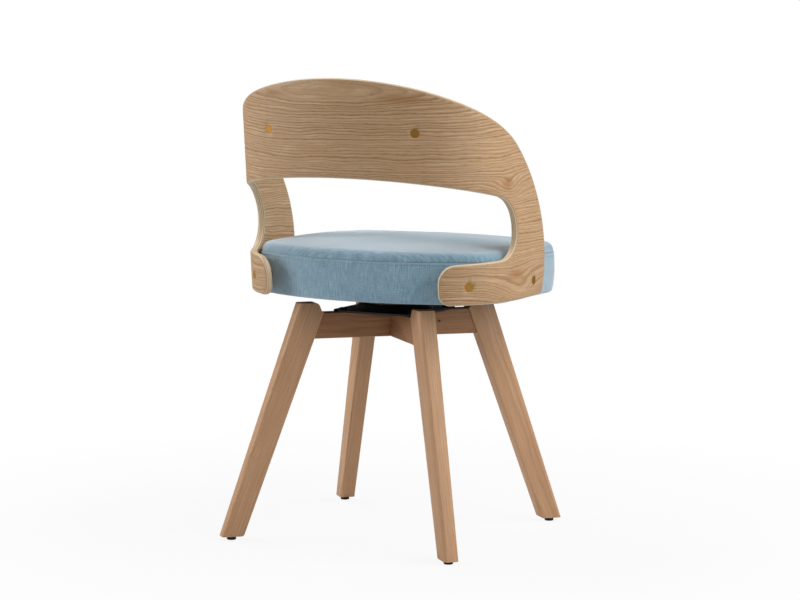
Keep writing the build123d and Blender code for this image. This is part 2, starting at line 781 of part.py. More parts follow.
def pad_body(skin):
    """The upright pad drawn in by skin: a crowned section turned about the back's axis, its ends rounded."""
    back_r = shell_rear_arc - ply_t - pad_gap - skin
    low = pad_low + skin
    high = pad_high - skin
    edge = back_r - pad_edge_thick + 2 * skin
    front = back_r - pad_thick + 2 * skin
    face = make_face([Line((back_r, low), (back_r, high)), Line((back_r, high), (edge, high)),
                      ThreePointArc((edge, high), (front, (low + high) / 2), (edge, low)),
                      Line((edge, low), (back_r, low))])
    face = fillet(corner_at(face, edge, high) + corner_at(face, edge, low), pad_round - skin)
    turn = pad_turn - degrees(skin / back_r)
    body = revolve(Plane.XZ * face, Axis.Z, revolution_arc=2 * turn)
    ends = body.faces().filter_by(GeomType.PLANE).sort_by(Axis.Z)
    ends = [f for f in ends if abs(f.normal_at().Z) < 0.1]
    rounded = [e for f in ends for e in f.edges() if abs((e @ 0 - e @ 1).Z) < high - low - 1]
    body = fillet(rounded, pad_end_round - skin)
    return Pos(0, rear_axis_y, 0) * Rot(0, 0, 90 - turn) * body


def pad_core_blank():
    back_r = shell_rear_arc - ply_t - pad_gap - cover_t
    height = pad_high - pad_low - 2 * pad_core_inset
    face = Pos(back_r - pad_core_t / 2, (pad_low + pad_high) / 2) * Rectangle(pad_core_t, height)
    body = revolve(Plane.XZ * face, Axis.Z, revolution_arc=2 * pad_core_turn)
    return leaned(Pos(0, rear_axis_y, 0) * Rot(0, 0, 90 - pad_core_turn) * body)


def back_t_nuts():
    depth = back_screw_length() - t_nut_flange_t
    nuts = [p * (Pos(0, 0, -depth) * Rot(180, 0, 0) * t_nut(pad_t_nut_barrel_h)) for p in band_planes()]
    return Compound([solid_of(n) for n in nuts])


def back_drills():
    return Compound([solid_of(drill(p, screw_d + screw_hole_play, back_screw_length())) for p in band_planes()])


def back_pad_core():
    return solid_of(pad_core_blank() - back_drills() - back_t_nuts())


def back_pad_foam():
    body = leaned(pad_body(cover_t)) - pad_core_blank() - back_t_nuts()
    return solid_of(body - back_screws())


def back_pad_cover():
    return solid_of(leaned(pad_body(0)) - leaned(pad_body(cover_t)) - back_drills())


def all_parts():
    """Every node by name, with its solid or its group of separate solids."""
    leg_solid = leg()
    parts = {"leg_" + place: spun(leg_solid, angle) for place, angle in leg_angles.items()}
    parts["cross_rail_upper"] = spun(rail(False), leg_angles["rear_left"])
    parts["cross_rail_lower"] = spun(rail(True), leg_angles["rear_right"])
    shell = back_shell()
    cover = seat_cover()
    parts["back_shell"] = shell
    parts["seat_cover"] = cover
    parts["shell_spacers"] = shell_spacers(shell, cover)
    parts["side_block_left"] = side_block(1)
    parts["side_block_right"] = side_block(-1)
    for make in (leg_dowels, floor_glides, glide_nails, swivel_lower_plate, swivel_upper_plate, swivel_balls,
                 ball_cage, swivel_rivet, rivet_washer, base_bolts, base_inserts, seat_bolts, seat_t_nuts,
                 seat_board, block_screws, seat_foam, dust_cover, side_screws, side_inserts, back_pad_core,
                 back_pad_foam, back_pad_cover, back_screws, back_t_nuts):
        parts[make.__name__] = make()
    return parts


os.makedirs("parts", exist_ok=True)
for name, shape in all_parts().items():
    export_step(shape, f"parts/{name}.step")
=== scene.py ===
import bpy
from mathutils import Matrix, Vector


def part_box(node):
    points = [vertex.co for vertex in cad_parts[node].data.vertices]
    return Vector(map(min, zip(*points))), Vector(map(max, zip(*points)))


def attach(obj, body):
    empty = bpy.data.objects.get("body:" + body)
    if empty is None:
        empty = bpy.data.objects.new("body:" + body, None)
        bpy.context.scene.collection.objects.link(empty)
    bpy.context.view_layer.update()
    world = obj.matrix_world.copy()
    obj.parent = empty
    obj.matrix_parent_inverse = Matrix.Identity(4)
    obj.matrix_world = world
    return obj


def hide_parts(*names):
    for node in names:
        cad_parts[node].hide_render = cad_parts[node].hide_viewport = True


bl_info = {
    "name": "Swivel Dining Chair",
    "version": (1, 0, 0),
    "blender": (4, 5, 0),
    "location": "3D View > Sidebar > Chair",
    "description": "Dresses the packed frame of a swivel dining chair: bent plywood, woven seat, beech base",
    "category": "Object",
}

import bmesh
import bpy
from bpy.props import FloatProperty, FloatVectorProperty, IntProperty, PointerProperty
from itertools import pairwise
from math import asin, atan2, cos, hypot, pi, radians, sin, sqrt, tan
from mathutils import Matrix, Vector, noise
from mathutils.geometry import delaunay_2d_cdt, intersect_line_line_2d

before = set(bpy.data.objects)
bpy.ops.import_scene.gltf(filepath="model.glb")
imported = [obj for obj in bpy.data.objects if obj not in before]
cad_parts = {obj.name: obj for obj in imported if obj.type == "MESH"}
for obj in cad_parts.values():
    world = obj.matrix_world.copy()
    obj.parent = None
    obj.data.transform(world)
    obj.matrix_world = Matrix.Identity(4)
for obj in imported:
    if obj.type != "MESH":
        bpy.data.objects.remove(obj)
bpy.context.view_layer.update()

MM = 0.001
SHEET_UV = "cloth_or_grain"         # UV map in metres, on cloth and veneer
GRAIN = "grain"                     # point attribute in metres: along a stick, then across it both ways
KNOT = (0.22676, 0.05144, 0.389)    # the knot's place in the upper rail's grain
COVER = "woven polyester linen, pale blue"
THREAD = "polyester thread, pale blue"
OUTLINE_STEP = 0.0022               # spacing of the points along the plywood's outline


# ---- small helpers ----

def linear(code):
    """An sRGB hex colour as linear RGBA."""
    parts = [int(code[i:i + 2], 16) / 255 for i in (1, 3, 5)]
    return tuple(p / 12.92 if p <= 0.04045 else ((p + 0.055) / 1.055) ** 2.4 for p in parts) + (1.0,)


def source(value):
    """The value itself, or for a node its first output in use."""
    return next(s for s in value.outputs if s.enabled) if isinstance(value, bpy.types.Node) else value


def add(tree, kind, links=(), **settings):
    """Adds a node. kind is its type, or in capitals an operation of the Math node. settings are its own
    properties. links gives its inputs in use, in order or by name, a value, a socket or another node."""
    if kind.isupper():
        kind, settings = "Math", {"operation": kind, **settings}
    node = tree.nodes.new(kind if "Node" in kind else "ShaderNode" + kind)
    for name, value in settings.items():
        setattr(node, name, value)
    if not isinstance(links, dict):
        links = dict(zip((i for i, s in enumerate(node.inputs) if s.enabled), links))
    for key, value in links.items():
        value = source(value)
        if isinstance(value, bpy.types.NodeSocket):
            tree.links.new(value, node.inputs[key])
        else:
            node.inputs[key].default_value = value
    return node


def material(name, **values):
    """A new material and its tree, with the values of its Principled shader set by socket name."""
    mat = bpy.data.materials.new(name)
    mat.use_nodes = True
    for key, value in values.items():
        mat.node_tree.nodes["Principled BSDF"].inputs[key.replace("_", " ")].default_value = value
    return mat, mat.node_tree


def made_once(make, name):
    """The material of that name, made the first time it is asked for."""
    return bpy.data.materials.get(name) or make()


def finish(mat, colour, height, distance, strength=1.0, roughness=None):
    """Links a material's colour, relief and, if it varies, roughness to its shader. Returns the material."""
    tree = mat.node_tree
    bump = add(tree, "Bump", {"Height": height, "Strength": strength, "Distance": distance})
    for key, value in (("Base Color", colour), ("Normal", bump), ("Roughness", roughness)):
        if value is not None:
            tree.links.new(source(value), tree.nodes["Principled BSDF"].inputs[key])
    return mat


def streaks(tree, place, scale, detail=2.0, shift=(0.0, 0.0, 0.0), **more):
    """A noise drawn out by its scale, in waves per metre along each axis, or along all of them."""
    scale = scale if isinstance(scale, tuple) else (scale,) * 3
    place = add(tree, "Mapping", {"Vector": place, "Scale": scale, "Location": shift})
    return add(tree, "TexNoise", {"Vector": place, "Scale": 1.0, "Detail": detail, **more})


def speckled(name, low, high, tone, relief, distance, strength, tone_rough=None, relief_rough=None, **values):
    """A finish of two close tones. tone and relief are the scale and detail of the noises that draw the tones
    and the bumps. Either can also move the roughness between two ends."""
    mat, tree = material(name, **values)
    place = add(tree, "TexCoord").outputs["Object"]
    tone, relief = streaks(tree, place, *tone), streaks(tree, place, *relief)
    rough = None
    for pattern, ends in ((tone, tone_rough), (relief, relief_rough)):
        if ends:
            rough = add(tree, "MapRange", {"Value": pattern, "To Min": ends[0], "To Max": ends[1]})
    body = add(tree, "Mix", (tone, linear(low), linear(high)), data_type="RGBA")
    return finish(mat, body, relief, distance, strength, rough)


def placed(name, data):
    """A new object in the scene."""
    obj = bpy.data.objects.new(name, data)
    bpy.context.scene.collection.objects.link(obj)
    return obj


def piece(name, mesh, body, slot, *nodes):
    """Places a mesh as a piece that rides on a body and stands for CAD nodes. slot is not used."""
    obj = placed(name, mesh)
    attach(obj, body)
    if nodes:
        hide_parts(*nodes)
    return obj


def evaluated(obj):
    """The object's mesh with its modifiers applied."""
    graph = bpy.context.evaluated_depsgraph_get()
    graph.update()
    return bpy.data.meshes.new_from_object(obj.evaluated_get(graph), depsgraph=graph)


def mesh_of(name, verts, faces, materials):
    """A smooth mesh from faces given as (vertex numbers, one UV for each corner, material number)."""
    mesh = bpy.data.meshes.new(name)
    mesh.from_pydata([tuple(v) for v in verts], [], [f[0] for f in faces])
    layer = mesh.uv_layers.new(name=SHEET_UV)
    for loop, uv in zip(layer.data, (uv for f in faces for uv in f[1])):
        loop.uv = uv
    for mat in materials:
        mesh.materials.append(mat)
    for poly, f in zip(mesh.polygons, faces):
        poly.material_index = f[2]
        poly.use_smooth = True
    form = bmesh.new()
    form.from_mesh(mesh)
    bmesh.ops.recalc_face_normals(form, faces=form.faces)
    bmesh.ops.delete(form, geom=[v for v in form.verts if not v.link_faces], context="VERTS")
    form.to_mesh(mesh)
    form.free()
    return mesh


def along(runs, count):
    """Even points on a closed line of arcs and straights, anticlockwise, with their inward normals."""
    def length(run):
        return run[2] * (run[4] - run[3]) if run[0] == "arc" else (run[2] - run[1]).length

    total = sum(length(r) for r in runs)
    points, normals = [], []
    index, start = 0, 0.0
    for i in range(count):
        place = total * i / count
        while place > start + length(runs[index]) and index < len(runs) - 1:
            start += length(runs[index])
            index += 1
        run = runs[index]
        if run[0] == "arc":
            turn = run[3] + (place - start) / run[2]
            outward = Vector((cos(turn), sin(turn)))
            points.append(run[1] + outward * run[2])
            normals.append(-outward)
        else:
            way = (run[2] - run[1]).normalized()
            points.append(run[1] + way * (place - start))
            normals.append(Vector((-way.y, way.x)))
    return points, normals, total


# ---- sizes and colours a user would change ----

def metres(name, text, value):
    return FloatProperty(name=name, description=text, default=value, unit="LENGTH")


def tint(name, text, code):
    return FloatVectorProperty(name=name, description=text, subtype="COLOR", size=4, default=linear(code))


class ChairShellSizes(bpy.types.PropertyGroup):
    ply: metres("Plywood", "Thickness of the bent plywood", 0.012)
    half_width: metres("Half width", "Swivel axis to the outer face at the side", 0.2355)
    rear: metres("Rear", "Swivel axis to the outer face at the back, at the lean's level", 0.1878)
    rear_arc: metres("Rear bend", "Radius of the back's outer face", 0.355)
    corner_arc: metres("Corner bend", "Radius of the outer face at the two corners", 0.153)
    lean: FloatProperty(name="Lean", description="How far the back leans out", default=radians(5.9),
                        subtype="ANGLE")
    lean_level: metres("Lean level", "Height where the plan of the back is measured", 0.428)
    edge_round: metres("Edge rounding", "Rounding of the plywood's cut edges", 0.0042)
    plies: IntProperty(name="Plies", description="Sheets glued up in the plywood", default=9)


class ChairSeatSizes(bpy.types.PropertyGroup):
    half_width: metres("Half width", "Swivel axis to the seat's side", 0.219)
    seam_height: metres("Boxing", "Underside of the seat to its seam", 0.066)
    crown: metres("Crown", "Middle of the top panel above the seam", 0.019)
    crown_fall: metres("Crown fall", "The dome falls this far to the sides", 0.0046)
    stitch_pitch: metres("Stitch pitch", "From one stitch to the next", 0.0042)
    stitch_length: metres("Stitch length", "Length of one stitch", 0.0031)
    puff: metres("Puff", "Most that the simulated cloth may move out", 0.0014)


class ChairColours(bpy.types.PropertyGroup):
    veneer: tint("Veneer", "Smooth wood between the pore lines", "#CDA982")
    veneer_line: tint("Veneer lines", "Open pores of the early wood", "#9A7550")
    # the rails' beech is the legs' beech painted darker and warmer: painted shade for their place under the
    # seat
    beech_rails_painted_shade: tint("Beech, rails", "The rails' beech, darkened as painted shade under the seat", "#BD8C62")
    beech: tint("Beech, legs", "The legs' beech, lighter than the rails' painted shade", "#D9AF88")
    cloth: tint("Cloth", "Light threads of the cover", "#ADCDDC")
    cloth_deep: tint("Cloth, deep", "Dark threads of the cover", "#5F8BA6")


class ChairStage(bpy.types.PropertyGroup):
    soft_light: FloatProperty(name="Soft light", description="Strength of the even light from all round",
                              default=0.13)
    power: FloatProperty(name="Lamps", description="Power of all lamps together", default=158.0, unit="POWER")
    focal: FloatProperty(name="Focal length", description="Of the camera, on a 36 mm wide sensor",
                         default=115.285, unit="CAMERA")


# ---- materials ----

def ring_count(tree, ring, width, wander, waves):
    """Numbers growth rings outwards, one to a width, hurried and slowed by a slow noise across them. Returns
    the number with its fraction, and the fraction alone."""
    uneven = add(tree, "TexNoise", {"W": ring, "Scale": waves, "Detail": 1.0}, noise_dimensions="1D")
    count = add(tree, "MULTIPLY", (ring, 1 / width))
    count = add(tree, "MULTIPLY_ADD", (uneven, wander, count))
    return count, add(tree, "FRACT", (count,))


def from_spot(tree, uv, place, size):
    """How far the sheet's points lie from a spot, in the spot's half sizes."""
    off = add(tree, "VectorMath", (uv, (*place, 0.0)), operation="SUBTRACT")
    return add(tree, "VectorMath", (off, (1 / size[0], 1 / size[1], 0.0)), operation="MULTIPLY")


def ash_veneer():
    # Sliced ash veneer under matt lacquer: pale smooth wood crossed by lines of open pores that open into
    # long arches where the slice runs flat, all along the length of the sheet.
    mat, tree = material("ash veneer, matt lacquer", Roughness=0.5, IOR=1.5, Specular_IOR_Level=0.35)
    colours = bpy.context.scene.chair_colours
    uv = add(tree, "UVMap", uv_map=SHEET_UV)
    split = add(tree, "SeparateXYZ", (uv,))
    # slow waves in the lines, 170 mm long and 45 mm apart, and quick ones a quarter of that
    z = add(tree, "MULTIPLY_ADD", (streaks(tree, uv, (6.0, 22.0, 1.0)), 0.018, split.outputs["Y"]))
    z = add(tree, "MULTIPLY_ADD", (streaks(tree, uv, (24.0, 95.0, 1.0), 3.0), 0.0042, z))
    # eyes, where a branch or a wave in the log pushes the lines apart: place, half size, push, in metres
    eyes = (((-0.296, 0.574), (0.030, 0.017), 0.016), ((-0.318, 0.412), (0.062, 0.024), 0.026),
            ((0.310, 0.560), (0.040, 0.016), 0.012), ((0.262, 0.430), (0.040, 0.020), -0.012))
    for place, size, push in eyes:
        off = from_spot(tree, uv, place, size)
        far = add(tree, "VectorMath", (off, off), operation="DOT_PRODUCT")
        far = add(tree, "MULTIPLY", (far, -1.0))
        eye = add(tree, "EXPONENT", (far,))
        z = add(tree, "MULTIPLY_ADD", (eye, push, z))
    # the heart of the figure lies near the top of the band, and the rings stand round it as flat ellipses
    s_off = add(tree, "MULTIPLY_ADD", (split.outputs["X"], 0.11, -0.0008))
    z_off = add(tree, "SUBTRACT", (z, 0.739))
    ring = add(tree, "VectorMath", (add(tree, "CombineXYZ", (s_off, z_off)),), operation="LENGTH")
    heart = add(tree, "MapRange", (ring, 0.005, 0.018, 0.2), interpolation_type="SMOOTHSTEP")
    count, saw = ring_count(tree, ring, 0.0043, 2.6, 48.0)
    early = add(tree, "MapRange", (saw, 0.25, 0.90), interpolation_type="SMOOTHSTEP")
    late = add(tree, "MapRange", (saw, 1.0, 0.90), interpolation_type="SMOOTHSTEP")
    # some rings are strong and some hardly show
    number = add(tree, "FLOOR", (count,))
    which = add(tree, "TexWhiteNoise", (number,), noise_dimensions="1D")
    which = add(tree, "MapRange", {"Value": which, "To Min": 0.45, "To Max": 1.15})
    fibre = streaks(tree, uv, (14.0, 260.0, 1.0), 4.0)
    broken = add(tree, "MULTIPLY_ADD", (fibre, 1.3, 0.2))
    line = early
    for share in (late, which, broken, heart):
        line = add(tree, "MULTIPLY", (line, share))
    # open pores: dashes 12 mm long and 0.3 mm wide, drawn 1.3 mm wide so that they show
    pores = add(tree, "MapRange", (streaks(tree, uv, (80.0, 760.0, 1.0), Roughness=0.6), 0.5, 0.72))
    in_line = add(tree, "MULTIPLY_ADD", (line, 0.7, 0.20))
    pores = add(tree, "MULTIPLY", (pores, in_line))
    dark = add(tree, "MULTIPLY_ADD", (line, 0.85, pores), use_clamp=True)
    tone = streaks(tree, uv, (4.0, 26.0, 1.0), shift=(3.0, 1.0, 0.0))
    body = add(tree, "Mix", (tone, tuple(colours.veneer), linear("#C29D79")), data_type="RGBA")
    # pale, dense fibre shows as fine light streaks between the lines
    pale = add(tree, "MapRange", (fibre, 0.46, 0.68, 0.0, 0.62))
    body = add(tree, "Mix", (pale, body, linear("#E3C39C")), data_type="RGBA")
    # amber streaks where the slice grazes a ring: place and half size in metres
    for place, size in (((0.118, 0.719), (0.020, 0.005)), ((-0.112, 0.713), (0.034, 0.006)),
                        ((-0.289, 0.581), (0.012, 0.009)), ((-0.306, 0.437), (0.022, 0.008)),
                        ((0.325, 0.470), (0.020, 0.006))):
        far = add(tree, "VectorMath", (from_spot(tree, uv, place, size),), operation="LENGTH")
        share = add(tree, "MapRange", (far, 1.7, 0.1, 0.0, 0.75), interpolation_type="SMOOTHSTEP")
        share = add(tree, "MULTIPLY", (share, broken), use_clamp=True)
        body = add(tree, "Mix", (share, body, linear("#A87338")), data_type="RGBA")
    body = add(tree, "Mix", (dark, body, tuple(colours.veneer_line)), data_type="RGBA")
    rough = add(tree, "MapRange", {"Value": dark, "To Min": 0.44, "To Max": 0.62})
    sunk = add(tree, "SUBTRACT", (1.0, dark))
    return finish(mat, body, sunk, 0.00015, 0.6, rough)


def ply_edge():
    # The plywood's cut edge, sanded round and lacquered: cream sheets, every second one on end grain.
    mat, tree = material("birch plywood edge, lacquered", Roughness=0.48, IOR=1.5)
    sizes = bpy.context.scene.chair_shell
    uv = add(tree, "UVMap", uv_map=SHEET_UV)
    split = add(tree, "SeparateXYZ", (uv,))
    wander = add(tree, "TexNoise", {"W": split.outputs["X"], "Scale": 30.0, "Detail": 2.0},
                 noise_dimensions="1D")
    depth = add(tree, "MULTIPLY_ADD", (wander, 0.0003, split.outputs["Y"]))
    turn = add(tree, "MULTIPLY", (depth, pi * sizes.plies / sizes.ply))
    wave = add(tree, "SINE", (turn,))
    across = add(tree, "MapRange", (wave, -0.25, 0.25))
    speck = streaks(tree, uv, (420.0, 1300.0, 1.0))
    tone = add(tree, "MULTIPLY_ADD", (speck, 0.6, -0.2))
    tone = add(tree, "MULTIPLY_ADD", (across, 0.75, tone), use_clamp=True)
    body = add(tree, "ValToRGB", (tone,))
    stops = body.color_ramp.elements
    stops.new(0.55)
    for stop, code in zip(stops, ("#EEDABA", "#D8BC95", "#AC8A62")):
        stop.color = linear(code)
    return finish(mat, body, speck, 0.0001, 0.4)


def beech(name, light, middle, dark_line):
    # Steamed beech under matt lacquer: pinkish brown, close and even, with faint growth lines and the short
    # dark flecks of its rays.
    mat, tree = material(name, Roughness=0.46, IOR=1.5, Specular_IOR_Level=0.4)
    grain = add(tree, "Attribute", attribute_name=GRAIN).outputs["Vector"]
    bow = streaks(tree, grain, (7.0, 26.0, 26.0)).outputs["Color"]
    bent_grain = add(tree, "VectorMath", (bow, (0.0, 0.012, 0.012), grain), operation="MULTIPLY_ADD")
    # growth rings 3.6 mm apart about a heart that lies 60 mm outside the stick and drifts along it
    off = add(tree, "VectorMath", (bent_grain, (0.0, 0.055, 0.034)), operation="ADD")
    off = add(tree, "SeparateXYZ", (off,)).outputs
    drift = add(tree, "MULTIPLY_ADD", (off["X"], 0.05, off["Y"]))
    ring = add(tree, "VectorMath", (add(tree, "CombineXYZ", (0.0, drift, off["Z"])),), operation="LENGTH")
    saw = ring_count(tree, ring, 0.0036, 2.4, 70.0)[1]
    late = add(tree, "MapRange", (saw, 0.35, 0.95), interpolation_type="SMOOTHSTEP")
    fibre = streaks(tree, grain, (16.0, 420.0, 420.0), 3.0)
    # ray flecks 3 mm long and 0.4 mm wide, drawn 0.9 mm wide so that they show
    fleck = add(tree, "MapRange", (streaks(tree, grain, (300.0, 1100.0, 1100.0), 1.0), 0.6, 0.74))
    dark = -0.25
    for pattern, share in ((fibre, 0.9), (late, 0.30), (fleck, 0.35)):
        dark = add(tree, "MULTIPLY_ADD", (pattern, share, dark), use_clamp=pattern is fleck)
    patch = streaks(tree, grain, (9.0, 50.0, 50.0), 1.0)
    body = add(tree, "Mix", (patch, light, middle), data_type="RGBA")
    body = add(tree, "Mix", (dark, body, dark_line), data_type="RGBA")
    # one pin knot, 4 mm across, on the rail that faces the rear
    knot = add(tree, "VectorMath", (grain, KNOT), operation="SUBTRACT")
    knot = add(tree, "VectorMath", (knot, (1.0, 1.35, 1.0)), operation="MULTIPLY")
    knot = add(tree, "VectorMath", (knot,), operation="LENGTH")
    knot = add(tree, "MapRange", (knot, 0.0034, 0.0014), interpolation_type="SMOOTHSTEP")
    body = add(tree, "Mix", (knot, body, linear("#3A2013")), data_type="RGBA")
    return finish(mat, body, fibre, 0.0001, 0.5)


def woven_cover():
    # Furnishing cloth of linen look: matt, pale blue threads of two tones, with thick slubs along one thread
    # direction. Threads are 0.8 mm apart, drawn 1.6 mm apart so that they show.
    mat, tree = material(COVER, Roughness=0.92, IOR=1.45, Specular_IOR_Level=0.15, Sheen_Weight=1.0,
                         Sheen_Roughness=0.5)
    colours = bpy.context.scene.chair_colours
    uv = add(tree, "UVMap", uv_map=SHEET_UV)
    sway = add(tree, "TexNoise", {"Vector": uv, "Scale": 90.0, "Detail": 1.0}).outputs["Color"]
    swayed = add(tree, "VectorMath", (sway, (0.0011, 0.0011, 0.0), uv), operation="MULTIPLY_ADD")
    split = add(tree, "SeparateXYZ", (swayed,))
    threads = []
    for side in ("X", "Y"):
        turn = add(tree, "MULTIPLY", (split.outputs[side], 2 * pi / 0.0016))
        threads.append(add(tree, "SINE", (turn,)))
    weave = add(tree, "MULTIPLY", threads)
    slub = streaks(tree, uv, (520.0, 60.0, 1.0), 3.0, Roughness=0.62)
    cross = streaks(tree, uv, (75.0, 640.0, 1.0), shift=(5.0, 2.0, 0.0))
    cloud = add(tree, "TexNoise", {"Vector": uv, "Scale": 55.0, "Detail": 3.0})
    tone = -0.58
    for pattern, share in ((slub, 1.5), (cross, 0.55), (cloud, 0.5), (weave, 0.10)):
        tone = add(tree, "MULTIPLY_ADD", (pattern, share, tone))
    tone = add(tree, "SUBTRACT", (tone, 0.20), use_clamp=True)
    body = add(tree, "Mix", (tone, tuple(colours.cloth_deep), tuple(colours.cloth)), data_type="RGBA")
    height = add(tree, "MULTIPLY_ADD", (weave, 0.5, slub))
    return finish(mat, body, height, 0.0005, 0.55)


def thread():
    # Twisted polyester sewing thread, a shade lighter than the cloth, with its twist as fine slanted lines.
    mat, tree = material(THREAD, Roughness=0.7, IOR=1.5)
    place = add(tree, "TexCoord").outputs["Object"]
    twist = add(tree, "TexWave", {"Vector": place, "Scale": 700.0, "Distortion": 2.0},
                bands_direction="DIAGONAL").outputs["Fac"]
    body = add(tree, "Mix", (twist, linear("#8FB2C6"), linear("#B4CFDD")), data_type="RGBA")
    return finish(mat, body, twist, 0.0001)


def spunbond_cloth():
    # Spunbonded black dust cloth: matt, with a dimple grid every 1.5 mm, drawn 3 mm apart so that it shows.
    mat, tree = material("spunbond dust cloth, black", Roughness=0.95, IOR=1.45)
    place = add(tree, "TexCoord").outputs["Object"]
    dimples = add(tree, "TexVoronoi", {"Vector": place, "Scale": 330.0, "Randomness": 0.1})
    fluff = add(tree, "TexNoise", {"Vector": place, "Scale": 900.0, "Detail": 3.0})
    mixed = add(tree, "MULTIPLY_ADD", (dimples, 0.6, fluff), use_clamp=True)
    body = add(tree, "Mix", (mixed, linear("#141416"), linear("#2A2A2E")), data_type="RGBA")
    return finish(mat, body, mixed, 0.0003)


def lacquered_steel():
    # Pressed steel with black powder coat: half matt, with the fine orange peel of baked powder, 0.6 mm
    # across, drawn 1.5 mm so that it shows, and grey dust in the hollows.
    return speckled("powder-coated steel, black", "#0E0E10", "#232326", (45.0, 4.0), (650.0, 2.0), 0.0001,
                    0.4, tone_rough=(0.34, 0.56), Roughness=0.42, IOR=1.5)


def moulded_nylon(name, low, high):
    # Injection-moulded nylon with a spark-eroded surface, its grain 0.4 mm, drawn 0.8 mm so that it shows.
    return speckled(name, low, high, (120.0, 4.0), (1200.0, 2.0), 0.0001, 0.4, Roughness=0.5, IOR=1.53)


def plated_metal(name, low, high, roughness):
    # Electroplated steel: even colour with a slight bloom, and drawing or turning marks as faint fine lines.
    return speckled(name, low, high, (160.0, 4.0), ((500.0, 500.0, 3000.0), 2.0), 0.00005, 0.5,
                    relief_rough=(roughness - 0.08, roughness + 0.12), Metallic=1.0, Roughness=roughness)


def birch_ply():
    # Birch plywood, unfinished: cream face with long faint figure, plies 1.4 mm thick on its cut edges.
    mat, tree = material("birch plywood, raw", Roughness=0.75, IOR=1.5)
    place = add(tree, "TexCoord").outputs["Object"]
    split = add(tree, "SeparateXYZ", (place,))
    turn = add(tree, "MULTIPLY", (split.outputs["Z"], pi / 0.0014))
    plies = add(tree, "SINE", (turn,))
    figure = streaks(tree, place, (6.0, 90.0, 90.0), 4.0)
    tone = add(tree, "MULTIPLY_ADD", (plies, 0.2, figure), use_clamp=True)
    body = add(tree, "Mix", (tone, linear("#DCC49C"), linear("#BF9E72")), data_type="RGBA")
    return finish(mat, body, figure, 0.0001)


def seat_foam():
    # Cut polyurethane foam: matt, off-white, open cells about 1 mm across.
    mat, tree = material("polyurethane foam, cut", Roughness=0.95, IOR=1.45)
    place = add(tree, "TexCoord").outputs["Object"]
    cells = add(tree, "TexVoronoi", {"Vector": place, "Scale": 900.0})
    body = add(tree, "Mix", (cells, linear("#D9CFA8"), linear("#EFE8CC")), data_type="RGBA")
    return finish(mat, body, cells, 0.0005)


def paper_floor():
    # Matt white seamless paper: the camera sees it near white, and it keeps the chair's soft shadow.
    mat = speckled("seamless paper, white", "#CFCFCF", "#D6D6D6", (300.0, 3.0), (300.0, 3.0), 0.00005, 0.2,
                   Roughness=0.95, IOR=1.45, Specular_IOR_Level=0.05)
    tree = mat.node_tree
    # the camera sees the paper run out into plain white from 0.35 m to 1.2 m round the chair
    far = add(tree, "VectorMath", (add(tree, "TexCoord").outputs["Object"],), operation="LENGTH")
    far = add(tree, "MapRange", (far, 0.35, 1.2, 0.9, 1.0), interpolation_type="SMOOTHSTEP")
    seen = add(tree, "LightPath").outputs["Is Camera Ray"]
    share = add(tree, "MULTIPLY", (seen, far))
    white = add(tree, "Emission", ((1.0, 1.0, 1.0, 1.0), 1.0))
    both = add(tree, "MixShader", (share, tree.nodes["Principled BSDF"], white))
    tree.links.new(source(both), tree.nodes["Material Output"].inputs["Surface"])
    return mat


# ---- the bent plywood back ----

def shell_bends():
    """Where the outer face's two bends meet: the turn there, and the runs at the corner bend's two ends."""
    sizes = bpy.context.scene.chair_shell
    turn = asin((sizes.half_width - sizes.corner_arc) / (sizes.rear_arc - sizes.corner_arc))
    start = sizes.rear_arc * turn
    return turn, start, start + sizes.corner_arc * (pi / 2 - turn)


def shell_turn(s):
    """How far the outer face has turned from the back towards the side at s."""
    sizes = bpy.context.scene.chair_shell
    turn, start, _ = shell_bends()
    run = abs(s)
    return run / sizes.rear_arc if run <= start else min(turn + (run - start) / sizes.corner_arc, pi / 2)


def bent(s, z, depth):
    """A point of the bent plywood: s along the outer face from the middle, depth inwards from that face."""
    sizes = bpy.context.scene.chair_shell
    turn, start, end = shell_bends()
    side = 1 if s >= 0 else -1
    run, k = abs(s), shell_turn(s)
    axis_y = sizes.rear - sizes.rear_arc + (z - sizes.lean_level) * tan(sizes.lean)
    if run <= start:
        r = sizes.rear_arc - depth
        return Vector((side * r * sin(k), axis_y + r * cos(k), z))
    corner_x = sizes.half_width - sizes.corner_arc
    corner_y = axis_y + (sizes.rear_arc - sizes.corner_arc) * cos(turn)
    r = sizes.corner_arc - depth
    return Vector((side * (corner_x + r * sin(k)), corner_y + r * cos(k) - max(run - end, 0.0), z))


def rounded_join(a, b, radius):
    """Joins two lines of points that meet at a corner by an arc that touches both."""
    way_in, way_out = a[-1] - a[-2], b[1] - b[0]
    side = 1 if way_in.cross(way_out) > 0 else -1

    def pushed(line):
        moved = []
        for p, q in pairwise(line):
            way = (q - p).normalized()
            push = Vector((-way.y, way.x)) * side * radius
            moved.append((p + push - way * 1e-4, q + push + way * 1e-4, push))
        return moved

    for i, (p, q, push_in) in reversed(list(enumerate(pushed(a)))):
        for j, (u, v, push_out) in enumerate(pushed(b)):
            centre = intersect_line_line_2d(p, q, u, v)
            if centre:
                first = atan2(-push_in.y, -push_in.x)
                sweep = (atan2(-push_out.y, -push_out.x) - first) * side % (2 * pi)
                steps = max(4, int(radius * sweep / OUTLINE_STEP))
                turns = [first + side * sweep * k / steps for k in range(steps + 1)]
                return a[:i + 1] + [centre + Vector((cos(t), sin(t))) * radius for t in turns] + b[j + 1:]
    raise RuntimeError("two edges of the plywood blank don't meet in a rounded corner")


